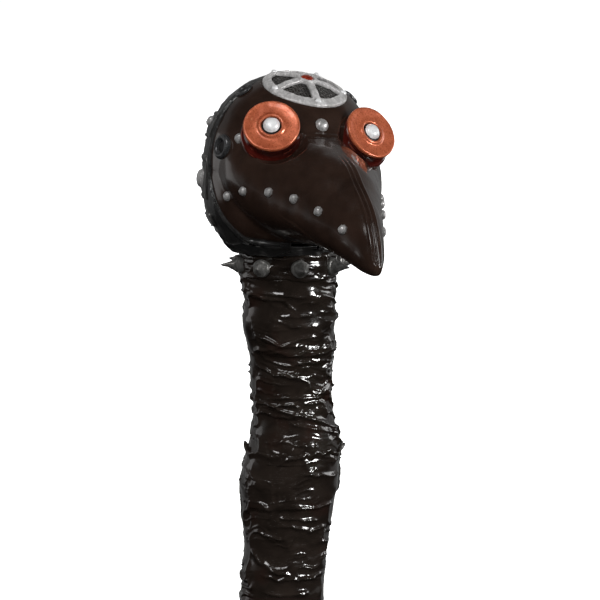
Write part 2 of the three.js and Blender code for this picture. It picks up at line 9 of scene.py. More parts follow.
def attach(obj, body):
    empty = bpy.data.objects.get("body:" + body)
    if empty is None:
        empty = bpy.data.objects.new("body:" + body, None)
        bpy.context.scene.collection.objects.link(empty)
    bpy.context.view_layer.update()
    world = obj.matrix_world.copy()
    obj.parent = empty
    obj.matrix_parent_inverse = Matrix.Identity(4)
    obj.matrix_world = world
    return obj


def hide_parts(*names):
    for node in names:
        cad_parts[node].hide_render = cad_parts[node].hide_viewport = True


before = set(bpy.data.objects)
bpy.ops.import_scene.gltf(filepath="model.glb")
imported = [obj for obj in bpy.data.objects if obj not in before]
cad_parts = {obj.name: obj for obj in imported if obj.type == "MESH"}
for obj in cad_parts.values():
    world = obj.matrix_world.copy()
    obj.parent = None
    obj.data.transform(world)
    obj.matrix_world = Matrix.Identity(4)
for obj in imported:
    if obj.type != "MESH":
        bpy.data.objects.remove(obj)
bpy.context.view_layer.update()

# ---------------------------------------------------------------- dimensions, in millimetres
# The same head frame as the CAD part: x sideways, f forward, u up, about the middle of the head.
MM = 0.001
HEAD_RADIUS = 28.7
HEAD_CENTRE = (2.7, 0.0, 170.0)
HEAD_LEAN = math.radians(5.3)
JOWL_LEVEL = -6.0
JOWL_DEPTH = 27.0
JOWL_RADIUS = 28.1
BORE_SCALE = 0.862
FACE_EDGE = 1.5
JAW_LEVEL = -8.0
JAW_SLOPE = 0.55
CHIN_LEVEL = -26.6
NECK_RADIUS = 17.0
# Sections across the beak: how far forward, half width, top, widest level, bottom.
BEAK = [
    [0, 28.2, 18, 0, -26.6],
    [3, 27.9, 17.5, -0.8, -26.6],
    [12, 27.6, 15, -3, -26.6],
    [22, 24.8, 12, -7, -26.3],
    [30, 21.3, 9, -10, -25.8],
    [40, 17.4, 6.2, -12.5, -25.2],
    [51, 13.2, 2.6, -14.5, -26],
    [59, 10.1, -2.6, -16.5, -27.3],
    [66, 7.3, -7.2, -19, -28.8],
    [72, 5.2, -12.2, -21.5, -29.8],
    [77, 3.4, -18.7, -24.8, -30.2],
    [80.3, 1.6, -25, -27.5, -29.8],
]
WHEEL_TILT = math.radians(19)
WHEEL_RADIUS = 14.3
WHEEL_RIM = 2.8
SPOKES = 5
VENT_RADIUS = 12.2
VENT_DEPTH = 2.3
WHEEL_SINK = 0.8
WHEEL_THICK = 1.3
GOGGLE_PLACE = (17.6, 25.4, 11.6)
GOGGLE_PITCH = math.radians(32)
GOGGLE_SPLAY = {"left": math.radians(-26), "right": math.radians(15)}
SEAT_DEPTH = -5.1
COLLAR_X = 2.4
COLLAR_BOTTOM = 130.6
COLLAR_TOP = 139.0
COLLAR_OUTER = 16.7
SPIKE_FIRST = -9
GRIP_LINE = [
    [0, 0], [24, 0], [38, 1.2], [51, 1.9], [65, 2.9], [75, 4.3],
    [85, 4], [93, 3.2], [103, 3.4], [115, 2.5], [140, 2.4],
]
WRAP_PROFILE = [
    [10, 14.2], [14, 14.2], [30, 14.3], [38, 14.0], [45, 14.7], [52, 15.7], [58, 16.2],
    [66, 16.4], [71, 15.9], [78, 14.6], [85, 13.6], [92, 13.7], [99, 14.1],
    [105, 14.7], [112, 15.4], [116, 15.8], [122, 15.2], [126, 15.9], [131, 15.6], [136, 15.4],
]

# ---------------------------------------------------------------- numbers
def lattice(ix, iy, iz, seed):
    """A repeatable random number from -1 to 1 at each whole-numbered place."""
    mixed = (ix * 374761393 + iy * 668265263 + iz * 1440662683 + seed * 1274126177) & 0xFFFFFFFF
    mixed = ((mixed ^ (mixed >> 13)) * 1274126177) & 0xFFFFFFFF
    return ((mixed ^ (mixed >> 16)) & 0xFFFF) / 32767.5 - 1.0


def noise(points, seed=0):
    """Smooth noise from -1 to 1 at rows of three coordinates."""
    points = np.asarray(points, float)
    base = np.floor(points).astype(np.int64)
    part = points - base
    ease = part ** 3 * (part * (part * 6 - 15) + 10)
    total = np.zeros(points.shape[:-1])
    for corner in range(8):
        step = np.array([corner & 1, (corner >> 1) & 1, (corner >> 2) & 1])
        weight = np.prod(np.where(step == 1, ease, 1 - ease), axis=-1)
        place = base + step
        total += weight * lattice(place[..., 0], place[..., 1], place[..., 2], seed)
    return total


def ridged(points, seed=0):
    """Noise with sharp crests, from 0 to 1."""
    return 1 - np.minimum(np.abs(noise(points, seed)) * 1.9, 1)


def smoothstep(low, high, value):
    share = np.clip((value - low) / (high - low), 0, 1)
    return share * share * (3 - 2 * share)


def curve(table, at):
    """Smooth values through the rows of a table, without overshoot."""
    knots = np.array(table, float)
    x, y = knots[:, 0], knots[:, 1:]
    slope = np.diff(y, axis=0) / np.diff(x)[:, None]
    both = slope[:-1] * slope[1:]
    safe = np.where(both > 0, slope[:-1] + slope[1:], 1)
    tangent = np.zeros_like(y)
    tangent[1:-1] = np.where(both > 0, 2 * both / safe, 0)
    tangent[0], tangent[-1] = slope[0], slope[-1]
    at = np.clip(np.asarray(at, float), x[0], x[-1])
    i = np.clip(np.searchsorted(x, at, side="right") - 1, 0, len(x) - 2)
    width = (x[i + 1] - x[i])[..., None]
    t = ((at - x[i])[..., None]) / width
    first = (1 + 2 * t) * (1 - t) ** 2 * y[i] + t * (1 - t) ** 2 * width * tangent[i]
    second = t * t * (3 - 2 * t) * y[i + 1] + t * t * (t - 1) * width * tangent[i + 1]
    return first + second


def along_path(points, path):
    """Distance from each point to a path of straight pieces, and how far along it lies (0 to 1)."""
    points = np.asarray(points, float)
    path = np.asarray(path, float)
    lengths = np.linalg.norm(np.diff(path, axis=0), axis=1)
    total = lengths.sum()
    best = np.full(points.shape[:-1], 1e9)
    share = np.zeros(points.shape[:-1])
    done = 0.0
    for a, b, length in zip(path[:-1], path[1:], lengths):
        t = np.clip(((points - a) @ (b - a)) / length ** 2, 0, 1)
        gap = np.linalg.norm(points - (a + t[..., None] * (b - a)), axis=-1)
        closer = gap < best
        best = np.where(closer, gap, best)
        share = np.where(closer, (done + t * length) / total, share)
        done += length
    return best, share


# ---------------------------------------------------------------- frames
def head_to_part(points):
    """Head coordinates (x, f, u) to part coordinates, all in millimetres."""
    points = np.asarray(points, float)
    x, f, u = points[..., 0], points[..., 1], points[..., 2]
    c, s = math.cos(HEAD_LEAN), math.sin(HEAD_LEAN)
    out = np.stack([x * c + u * s, -f, -x * s + u * c], -1)
    return out + np.array(HEAD_CENTRE)


def axes_for(normal):
    """Two directions square to a normal."""
    n = np.array(normal, float)
    n /= np.linalg.norm(n)
    side = np.cross([0, 0, 1.0], n)
    if np.linalg.norm(side) < 1e-3:
        side = np.array([1.0, 0, 0])
    side /= np.linalg.norm(side)
    return side, np.cross(n, side), n


def place_on(points, origin, normal):
    """Turns local points so that their z lies along a normal, and moves them to an origin."""
    a, b, n = axes_for(normal)
    points = np.asarray(points, float)
    return np.array(origin) + points[..., [0]] * a + points[..., [1]] * b + points[..., [2]] * n


# ---------------------------------------------------------------- the outside of the head
def head_radius(u):
    u = np.asarray(u, float)
    ball = np.sqrt(np.maximum(HEAD_RADIUS ** 2 - u * u, 0))
    share = np.clip((JOWL_LEVEL - u) / JOWL_DEPTH, 0, 1)
    jowl = JOWL_RADIUS * (1 - share ** 3) ** (1 / 2.2)
    return np.where(u > JOWL_LEVEL, ball, jowl)


def rim_forward(u):
    """How far forward the edge of the mask lies at a height."""
    return FACE_EDGE + JAW_SLOPE * np.maximum(JAW_LEVEL - u, 0)


def head_point(azimuth, u, lift=0.0):
    a = np.radians(azimuth)
    r = head_radius(u) + lift
    return np.stack([r * np.sin(a), r * np.cos(a), u + 0 * r], -1)


def head_normal(azimuth, u):
    a = np.radians(azimuth)
    slope = (head_radius(u + 0.2) - head_radius(u - 0.2)) / 0.4
    out = np.stack([np.sin(a) + 0 * slope, np.cos(a) + 0 * slope, -slope + 0 * a], -1)
    return out / np.linalg.norm(out, axis=-1, keepdims=True)


def smooth_union(a, b, k):
    h = np.clip(0.5 + 0.5 * (b - a) / k, 0, 1)
    return b * (1 - h) + a * h - k * h * (1 - h)


def dome_distance(x, f, u, scale=1.0):
    x, f, u = x / scale, f / scale, u / scale
    ball = np.sqrt(x * x + f * f + u * u) - HEAD_RADIUS
    jowl = np.hypot(x, f) - head_radius(u)
    return np.where(u > JOWL_LEVEL, ball, jowl) * scale


def beak_distance(x, f, u):
    half, top, widest, bottom = np.moveaxis(curve(BEAK, f), -1, 0)
    above = u > widest
    reach = np.where(above, top - widest, widest - bottom)
    power = 2 - 0.3 * smoothstep(34, 62, f) * above
    across = (np.abs(x) / half) ** power
    q = (across + (np.abs(u - widest) / reach) ** power) ** (1 / power)
    q = np.maximum(q, 1e-6)
    spread = np.hypot(x, u - widest)
    return spread * (1 - 1 / q)


def face_distance(x, f, u):
    dome = dome_distance(x, f, u)
    dome = -smooth_union(-dome, u - CHIN_LEVEL, 1.2)
    blend = 0.7 + 1.6 * smoothstep(17, 29, f) * smoothstep(-6, 4, u)
    return smooth_union(dome, beak_distance(x, f, u), blend)


def ring_middle(f):
    _, top, _, bottom = np.moveaxis(curve(BEAK, f), -1, 0)
    return (top + bottom) / 2


def solve_ring(theta, f, distance, middle):
    """Where rays from a middle point meet a surface, at each angle from straight up."""
    low = np.zeros_like(theta)
    high = np.full_like(theta, 48.0)
    for _ in range(34):
        r = (low + high) / 2
        inside = distance(r * np.sin(theta), f, middle + r * np.cos(theta)) < 0
        low = np.where(inside, r, low)
        high = np.where(inside, high, r)
    r = (low + high) / 2
    return np.stack([r * np.sin(theta), f, middle + r * np.cos(theta)], -1)


# ---------------------------------------------------------------- meshes
def grid_normals(grid):
    """Outward normals of a grid of points that closes along its columns."""
    across = np.roll(grid, -1, axis=1) - np.roll(grid, 1, axis=1)
    down = np.gradient(grid, axis=0)
    normal = np.cross(down, across)
    return normal / np.maximum(np.linalg.norm(normal, axis=-1, keepdims=True), 1e-9)


def grid_faces(rows, cols, close_rows=False, close_cols=True):
    faces = []
    for i in range(rows if close_rows else rows - 1):
        low, high = i * cols, ((i + 1) % rows) * cols
        for j in range(cols if close_cols else cols - 1):
            k = (j + 1) % cols
            faces.append((low + j, low + k, high + k, high + j))
    return faces


def add_mesh(name, points, faces, material):
    """A smooth-shaded object from part coordinates in millimetres, with its faces turned outwards."""
    mesh = bpy.data.meshes.new(name)
    mesh.from_pydata((np.asarray(points, float).reshape(-1, 3) * MM).tolist(), [], faces)
    mesh.update()
    work = bmesh.new()
    work.from_mesh(mesh)
    bmesh.ops.recalc_face_normals(work, faces=work.faces)
    work.to_mesh(mesh)
    work.free()
    mesh.shade_smooth()
    mesh.materials.append(material)
    piece = bpy.data.objects.new(name, mesh)
    bpy.context.scene.collection.objects.link(piece)
    return piece


def add_skin(name, grid, material, start_pole=None, end_pole=None, close_rows=False):
    """A closed piece from a grid of rings, with a pole point at either end."""
    rows, cols = grid.shape[:2]
    points = grid.reshape(-1, 3)
    faces = grid_faces(rows, cols, close_rows)
    for pole, row in ((start_pole, 0), (end_pole, rows - 1)):
        if pole is None:
            continue
        tip = len(points)
        points = np.vstack([points, np.asarray(pole, float)[None]])
        base = row * cols
        faces += [(base + j, base + (j + 1) % cols, tip) for j in range(cols)]
    return add_mesh(name, points, faces, material)


def stands_for(piece, slot, *nodes):
    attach(piece, "root")
    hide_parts(*nodes)
    return piece


def rounded_profile(corners, radius=0.2, steps=4):
    """A turned profile whose inner corners are rounded by short curves."""
    corners = [np.array(c, float) for c in corners]
    out = [corners[0]]
    for before, here, after in zip(corners[:-2], corners[1:-1], corners[2:]):
        a, b = before - here, after - here
        la, lb = np.linalg.norm(a), np.linalg.norm(b)
        cut = min(radius, 0.45 * la, 0.45 * lb)
        start, end = here + a / la * cut, here + b / lb * cut
        for i in range(steps + 1):
            t = i / steps
            out.append((1 - t) ** 2 * start + 2 * t * (1 - t) * here + t * t * end)
    out.append(corners[-1])
    return np.array(out)


def refined(profile, spacing):
    """More points along a profile, so that no step is longer than the spacing."""
    out = [profile[0]]
    for a, b in zip(profile[:-1], profile[1:]):
        steps = max(1, int(np.ceil(np.linalg.norm(b - a) / spacing)))
        out += [a + (b - a) * (i + 1) / steps for i in range(steps)]
    return np.array(out)


def turned(corners, segments, radius=0.2, spacing=0.6, lumps=0.0, lump_size=2.0, seed=0):
    """Rings of a turned shape about z, made a little uneven as a casting is."""
    profile = refined(rounded_profile(corners, radius), spacing)
    angle = np.arange(segments) / segments * 2 * np.pi
    r, z = profile[:, :1], profile[:, 1:]
    grid = np.stack([r * np.cos(angle), r * np.sin(angle), z + 0 * angle], -1)
    if lumps:
        grid = grid + lumps * grid_normals(grid) * noise(grid / lump_size + seed, seed)[..., None]
    return grid


# ---------------------------------------------------------------- materials
def new_material(name):
    material = bpy.data.materials.new(name)
    material.use_nodes = True
    tree = material.node_tree
    return material, tree, tree.nodes["Principled BSDF"]


def link(tree, out, into):
    tree.links.new(out, into)


def coordinates(tree, stretch=(1, 1, 1), turn=(0, 0, 0)):
    source = tree.nodes.new("ShaderNodeTexCoord")
    mapping = tree.nodes.new("ShaderNodeMapping")
    mapping.inputs["Scale"].default_value = stretch
    mapping.inputs["Rotation"].default_value = turn
    link(tree, source.outputs["Object"], mapping.inputs["Vector"])
    return mapping.outputs["Vector"]


def noise_node(tree, size_mm, detail=4.0, rough=0.55, stretch=(1, 1, 1), distortion=0.0, turn=(0, 0, 0)):
    node = tree.nodes.new("ShaderNodeTexNoise")
    node.inputs["Scale"].default_value = 1000.0 / size_mm
    node.inputs["Detail"].default_value = detail
    node.inputs["Roughness"].default_value = rough
    node.inputs["Distortion"].default_value = distortion
    link(tree, coordinates(tree, stretch, turn), node.inputs["Vector"])
    return node.outputs["Fac"]


def cells_node(tree, size_mm, feature="F1", stretch=(1, 1, 1)):
    node = tree.nodes.new("ShaderNodeTexVoronoi")
    node.feature = feature
    node.inputs["Scale"].default_value = 1000.0 / size_mm
    link(tree, coordinates(tree, stretch), node.inputs["Vector"])
    return node.outputs["Distance"]


def ramp(tree, value, stops):
    node = tree.nodes.new("ShaderNodeValToRGB")
    elements = node.color_ramp.elements
    while len(elements) < len(stops):
        elements.new(0.5)
    for element, (place, colour) in zip(elements, stops):
        element.position = place
        element.color = (*colour, 1)
    link(tree, value, node.inputs["Fac"])
    return node.outputs["Color"]


def remap(tree, value, low, high, to_low, to_high):
    node = tree.nodes.new("ShaderNodeMapRange")
    node.interpolation_type = "SMOOTHSTEP"
    for key, number in (("From Min", low), ("From Max", high), ("To Min", to_low), ("To Max", to_high)):
        node.inputs[key].default_value = number
    link(tree, value, node.inputs["Value"])
    return node.outputs["Result"]


def mix(tree, factor, a, b, mode="MIX"):
    node = tree.nodes.new("ShaderNodeMix")
    node.data_type = "RGBA"
    node.blend_type = mode
    for key, value in ((0, factor), (6, a), (7, b)):
        if isinstance(value, (tuple, float, int)):
            node.inputs[key].default_value = value if key == 0 else (*value, 1)
        else:
            link(tree, value, node.inputs[key])
    return node.outputs[2]


def maths(tree, operation, *values):
    node = tree.nodes.new("ShaderNodeMath")
    node.operation = operation
    for i, value in enumerate(values):
        if isinstance(value, (int, float)):
            node.inputs[i].default_value = value
        else:
            link(tree, value, node.inputs[i])
    return node.outputs[0]


def pointiness(tree):
    return tree.nodes.new("ShaderNodeNewGeometry").outputs["Pointiness"]


def bumps(tree, shader, layers):
    """Chains bump nodes: each layer is a height, how deep it is in millimetres and its strength."""
    last = None
    for height, depth_mm, strength in layers:
        node = tree.nodes.new("ShaderNodeBump")
        node.inputs["Distance"].default_value = depth_mm * MM
        node.inputs["Strength"].default_value = strength
        link(tree, height, node.inputs["Height"])
        if last is not None:
            link(tree, last, node.inputs["Normal"])
        last = node.outputs["Normal"]
    link(tree, last, shader.inputs["Normal"])
    return last


def lacquer(name, dark, light, roughness=0.3, coat=0.6, coat_rough=0.08, grain=0.9, grain_depth=0.02,
            dust=(0.05, 0.05, 0.05), edge=None, specular=0.5):
    """Painted resin under clear lacquer: blotchy colour, dusty hollows, worn edges and fine grain."""
    material, tree, shader = new_material(name)
    blotch = noise_node(tree, 9.0, 5)
    colour = ramp(tree, blotch, [(0.3, dark), (0.7, light)])
    fine = noise_node(tree, 0.7, 6)
    if edge:
        worn = remap(tree, pointiness(tree), 0.515, 0.56, 0, 0.8)
        colour = mix(tree, worn, colour, edge)
    hollow = remap(tree, pointiness(tree), 0.485, 0.44, 0, 0.5)
    colour = mix(tree, hollow, colour, dust)
    link(tree, colour, shader.inputs["Base Color"])
    smudge = noise_node(tree, 4.0, 6, distortion=0.6)
    link(tree, remap(tree, smudge, 0.3, 0.7, roughness * 0.75, roughness * 1.3), shader.inputs["Roughness"])
    shader.inputs["Coat Weight"].default_value = coat
    shader.inputs["Coat Roughness"].default_value = coat_rough
    shader.inputs["Specular IOR Level"].default_value = specular
    bumps(tree, shader, [(fine, grain_depth, 0.16), (noise_node(tree, grain * 5, 3), grain_depth * 2, 0.3)])
    return material


def hand_painted_metal(name, dark, light, recess, metallic=0.55, roughness=0.42, stroke=1.4, depth=0.05):
    """Metallic paint brushed on by hand: strokes, a dark wash in the hollows and bright worn crests."""
    material, tree, shader = new_material(name)
    strokes = noise_node(tree, stroke, 6, 0.65, stretch=(1, 1, 0.35), distortion=0.8, turn=(0.4, 0.3, 0.2))
    blotch = noise_node(tree, 3.2, 4)
    colour = ramp(tree, strokes, [(0.25, dark), (0.72, light)])
    colour = mix(tree, remap(tree, blotch, 0.35, 0.7, 0, 0.35), colour, dark)
    wash = remap(tree, pointiness(tree), 0.505, 0.44, 0, 0.9)
    colour = mix(tree, wash, colour, recess)
    crest = remap(tree, pointiness(tree), 0.52, 0.6, 0, 0.5)
    bright = tuple(min(1.0, c * 1.25) for c in light)
    colour = mix(tree, crest, colour, bright)
    link(tree, colour, shader.inputs["Base Color"])
    shader.inputs["Metallic"].default_value = metallic
    speck = noise_node(tree, 0.5, 5)
    link(tree, remap(tree, speck, 0.3, 0.7, roughness * 0.8, roughness * 1.25), shader.inputs["Roughness"])
    bumps(tree, shader, [(strokes, depth, 0.6), (speck, depth * 0.4, 0.4)])
    return material


def make_materials():
    kit = {}
    kit["mask"] = lacquer("mask_resin", (0.014, 0.0078, 0.0056), (0.028, 0.0158, 0.0115), 0.21, 0.5, 0.05,
                          dust=(0.02, 0.014, 0.011), edge=(0.035, 0.024, 0.018))
    kit["hood"] = leather("hood_resin", (0.008, 0.0078, 0.0076), (0.02, 0.0195, 0.019), 0.36, 0.3)
    kit["strap"] = leather("strap_resin", (0.008, 0.0078, 0.0076), (0.022, 0.0215, 0.021), 0.32, 0.35)
    kit["oxblood"] = lacquer("oxblood_enamel", (0.02, 0.0026, 0.0018), (0.066, 0.0075, 0.005), 0.16, 0.9,
                             0.04, dust=(0.02, 0.004, 0.003), edge=(0.16, 0.035, 0.022))
    kit["copper"] = copper_paint()
    kit["silver"] = hand_painted_metal("old_silver", (0.2, 0.195, 0.19), (0.72, 0.705, 0.7),
                                       (0.02, 0.018, 0.017), 0.25, 0.34)
    kit["stud"] = hand_painted_metal("stud_silver", (0.2, 0.195, 0.19), (0.6, 0.59, 0.585),
                                     (0.02, 0.018, 0.017), 0.5, 0.3, 1.2, 0.04)
    kit["boss"] = hand_painted_metal("boss_silver", (0.55, 0.55, 0.555), (0.82, 0.825, 0.83),
                                     (0.03, 0.03, 0.03), 0.2, 0.32, 2.2, 0.04)
    kit["gunmetal"] = hand_painted_metal("gunmetal", (0.02, 0.02, 0.021), (0.13, 0.13, 0.133),
                                         (0.004, 0.004, 0.004), 0.6, 0.28)
    # Black rubber for the goggle gaskets; the same black also fills each eyelet hole as painted shade.
    kit["rubber"] = lacquer("black_rubber", (0.004, 0.004, 0.004), (0.012, 0.011, 0.011), 0.6, 0.0)
    kit["mesh"] = hand_painted_metal("dark_mesh", (0.02, 0.019, 0.018), (0.11, 0.105, 0.1),
                                     (0.004, 0.004, 0.004), 0.5, 0.4, 0.6, 0.02)
    kit["jewel"] = jewel_material()
    kit["wrap"] = wrap_material()
    kit["collar"] = kit["wrap"]
    kit["spike"] = hand_painted_metal("spike_silver", (0.07, 0.068, 0.062), (0.26, 0.255, 0.245),
                                      (0.012, 0.011, 0.01), 0.6, 0.34, 1.2, 0.06)
    kit["wood"] = wood_material()
    kit["steel"] = steel_material()
    return kit


def leather(name, dark, light, roughness, coat):
    """Leather-look lacquered resin: pebbled grain, creases and rubbed edges."""
    material, tree, shader = new_material(name)
    pebbles = cells_node(tree, 0.85)
    creases = noise_node(tree, 3.2, 7, 0.6, distortion=1.2)
    colour = ramp(tree, creases, [(0.3, dark), (0.72, light)])
    rubbed = remap(tree, pointiness(tree), 0.515, 0.57, 0, 0.7)
    colour = mix(tree, rubbed, colour, (0.06, 0.058, 0.056))
    link(tree, colour, shader.inputs["Base Color"])
    smudge = noise_node(tree, 5.0, 5, distortion=0.5)
    link(tree, remap(tree, smudge, 0.3, 0.7, roughness * 0.75, roughness * 1.25), shader.inputs["Roughness"])
    shader.inputs["Coat Weight"].default_value = coat
    shader.inputs["Coat Roughness"].default_value = 0.14
    bumps(tree, shader, [(pebbles, 0.05, 0.35), (creases, 0.14, 0.45)])
    return material


def copper_paint():
    """Brushed copper paint with fine strokes, darker patches and a rubbed rim."""
    material, tree, shader = new_material("copper_paint")
    strokes = noise_node(tree, 1.5, 7, 0.62, stretch=(1, 0.4, 1), distortion=1.0, turn=(0.3, 0.5, 0.9))
    patches = noise_node(tree, 5.0, 4, 0.5, distortion=0.5)
    colour = ramp(tree, strokes, [(0.22, (0.37, 0.078, 0.032)), (0.75, (0.64, 0.17, 0.078))])
    colour = mix(tree, remap(tree, patches, 0.42, 0.7, 0, 0.7), colour, (0.3, 0.06, 0.022))
    wash = remap(tree, pointiness(tree), 0.495, 0.45, 0, 0.9)
    colour = mix(tree, wash, colour, (0.11, 0.028, 0.014))
    rubbed = remap(tree, pointiness(tree), 0.52, 0.58, 0, 0.55)
    colour = mix(tree, rubbed, colour, (0.62, 0.24, 0.12))
    link(tree, colour, shader.inputs["Base Color"])
    shader.inputs["Metallic"].default_value = 0.45
    speck = noise_node(tree, 0.45, 5)
    link(tree, remap(tree, speck, 0.3, 0.7, 0.24, 0.4), shader.inputs["Roughness"])
    shader.inputs["Coat Weight"].default_value = 0.35
    shader.inputs["Coat Roughness"].default_value = 0.12
    bumps(tree, shader, [(strokes, 0.06, 0.6), (speck, 0.02, 0.4)])
    return material


def jewel_material():
    """A dark red glass cabochon with cloudy depth."""
    material, tree, shader = new_material("red_jewel")
    cloud = noise_node(tree, 1.6, 4, distortion=1.5)
    colour = ramp(tree, cloud, [(0.3, (0.1, 0.008, 0.005)), (0.7, (0.32, 0.045, 0.02))])
    link(tree, colour, shader.inputs["Base Color"])
    link(tree, remap(tree, noise_node(tree, 0.6, 4), 0.3, 0.7, 0.08, 0.16), shader.inputs["Roughness"])
    shader.inputs["Coat Weight"].default_value = 1.0
    shader.inputs["Coat Roughness"].default_value = 0.03
    bumps(tree, shader, [(cloud, 0.03, 0.3)])
    return material


def wrap_material():
    """Wrinkled skin sealed in gloss: near-black brown, redder in thin places, with cloudy lacquer."""
    material, tree, shader = new_material("wrap_resin")
    cloud = noise_node(tree, 11.0, 5, distortion=0.8)
    colour = ramp(tree, cloud, [(0.32, (0.0095, 0.007, 0.0056)), (0.62, (0.0185, 0.0135, 0.0108))])
    warm = noise_node(tree, 16.0, 3)
    colour = mix(tree, remap(tree, warm, 0.55, 0.72, 0, 0.6), colour, (0.019, 0.0085, 0.0062))
    crest = remap(tree, pointiness(tree), 0.52, 0.58, 0, 0.45)
    colour = mix(tree, crest, colour, (0.026, 0.021, 0.017))
    link(tree, colour, shader.inputs["Base Color"])
    smear = noise_node(tree, 3.0, 6, 0.6, stretch=(1, 1, 2.4), distortion=0.7)
    link(tree, remap(tree, smear, 0.3, 0.7, 0.12, 0.24), shader.inputs["Roughness"])
    shader.inputs["Coat Weight"].default_value = 0.5
    shader.inputs["Coat Roughness"].default_value = 0.06
    fine = noise_node(tree, 0.9, 6, 0.6, stretch=(1, 1, 2.2), distortion=0.6)
    bumps(tree, shader, [(fine, 0.03, 0.18), (smear, 0.1, 0.2)])
    return material


def wood_material():
    """Plain turned wood with long grain."""
    material, tree, shader = new_material("stick_wood")
    grain = noise_node(tree, 2.5, 6, stretch=(1, 1, 0.12), distortion=0.6)
    link(tree, ramp(tree, grain, [(0.3, (0.22, 0.12, 0.055)), (0.7, (0.36, 0.22, 0.11))]),
         shader.inputs["Base Color"])
    link(tree, remap(tree, grain, 0.3, 0.7, 0.55, 0.75), shader.inputs["Roughness"])
    bumps(tree, shader, [(grain, 0.08, 0.5)])
    return material


def steel_material():
    """Turned dark steel with fine rings and light scratches."""
    material, tree, shader = new_material("ferrule_steel")
    rings = noise_node(tree, 0.5, 4, stretch=(0.05, 0.05, 1))
    smear = noise_node(tree, 4.0, 5)
    colour = ramp(tree, smear, [(0.3, (0.2, 0.2, 0.205)), (0.7, (0.33, 0.33, 0.335))])
    link(tree, colour, shader.inputs["Base Color"])
    shader.inputs["Metallic"].default_value = 0.9
    link(tree, remap(tree, rings, 0.3, 0.7, 0.26, 0.42), shader.inputs["Roughness"])
    bumps(tree, shader, [(rings, 0.02, 0.5), (smear, 0.03, 0.2)])
    return material


KIT = make_materials()


# ---------------------------------------------------------------- the crown recess
def wheel_axis():
    return np.array([0, math.sin(WHEEL_TILT), math.cos(WHEEL_TILT)])


def sink_crown(points):
    """Presses the skin down into the seat of the wheel, and deeper under its openings."""
    along = points @ wheel_axis()
    off = np.sqrt(np.maximum((points ** 2).sum(-1) - along ** 2, 0))
    seat = WHEEL_SINK * smoothstep(WHEEL_RADIUS + 0.15, WHEEL_RADIUS - 0.35, off)
    vent = (VENT_DEPTH - WHEEL_SINK) * smoothstep(VENT_RADIUS + 0.4, VENT_RADIUS - 0.2, off)
    depth = (seat + vent) * (along > 0)
    outward = points / np.linalg.norm(points, axis=-1, keepdims=True)
    outer = np.linalg.norm(points, axis=-1) > HEAD_RADIUS * 0.93
    return points - outward * (depth * outer)[..., None]


def goggle_frame(side):
    """Where a goggle's disc is centred, and the way it looks, in head coordinates."""
    sign = -1 if side == "left" else 1
    splay = GOGGLE_SPLAY[side]
    flat = math.cos(GOGGLE_PITCH)
    look = np.array([flat * math.sin(splay), flat * math.cos(splay), math.sin(GOGGLE_PITCH)])
    return np.array([sign * GOGGLE_PLACE[0], GOGGLE_PLACE[1], GOGGLE_PLACE[2]]), look


def seat_goggles(points):
    """Presses the skin down round each goggle barrel, so that its foot stands clear."""
    for side in ("left", "right"):
        place, look = goggle_frame(side)
        away = points - place
        along = away @ look
        off = np.sqrt(np.maximum((away ** 2).sum(-1) - along ** 2, 0))
        allowed = SEAT_DEPTH + 11.0 * smoothstep(10.0, 18.0, off) + 3.0 * smoothstep(-5, 3, away[..., 2])
        excess = np.maximum(along - allowed, 0) * (off < 18.0)
        points = points - look * excess[..., None]
    return points


# ---------------------------------------------------------------- the mask
# Seam over the brow and crease along the jaw, at measured places: (x, f, u).
BROW_SEAM = [
    (-13.5, 27.2, 1.5), (-11.8, 29.0, 5.0), (-9.9, 29.6, 7.0), (-8.2, 28.9, 8.3), (-6.0, 27.9, 9.1),
    (-3.0, 28.6, 9.45), (0, 28.8, 9.5), (3.0, 28.6, 9.45), (6.0, 27.9, 9.1), (8.2, 28.9, 8.3),
    (9.9, 29.6, 7.0), (11.8, 29.0, 5.0), (13.5, 27.2, 1.5),
]
JAW_FOLD = [(17.5, 37, -16), (14, 44.7, -18.6), (10.8, 48.6, -21.6), (9.1, 50.6, -22.9), (7.4, 54.5, -24.4)]


def mask_relief(grid):
    """How far each point of the mask stands off its smooth form."""
    x, f, u = grid[..., 0], grid[..., 1], grid[..., 2]
    upper = smoothstep(0, 2, u - ring_middle(f))
    fade = smoothstep(42, 58, f) * (1 - 0.45 * smoothstep(76, 80, f))
    beads = np.exp(-((np.abs(x) - 0.78) / 0.42) ** 2)
    creases = np.exp(-((np.abs(x) - 1.65) / 0.4) ** 2)
    relief = upper * fade * (0.5 * beads - 0.22 * creases)
    crest = smoothstep(28, 40, f) * (1 - smoothstep(44, 60, f))
    relief += 0.35 * upper * crest * np.exp(-(x / 2.6) ** 2)
    gap, _ = along_path(grid, BROW_SEAM)
    side = np.where(u > 9.5 - 0.09 * x * x / 2, 1.0, -1.0)
    relief += 0.17 * np.exp(-(gap / 0.55) ** 2) - 0.16 * np.exp(-((gap - 1.05) / 0.45) ** 2)
    relief += -0.1 * side * np.exp(-(gap / 1.6) ** 2)
    fold = np.stack([np.abs(x), f, u], -1)
    gap, share = along_path(fold, JAW_FOLD)
    jaw_crease = 0.16 * np.exp(-((gap - 0.7) / 0.5) ** 2) - 0.3 * np.exp(-(gap / 0.42) ** 2)
    relief += jaw_crease * np.sin(np.pi * share)
    relief += 0.13 * noise(grid / 9.0, 3) + 0.06 * noise(grid / 4.0, 4)
    return relief


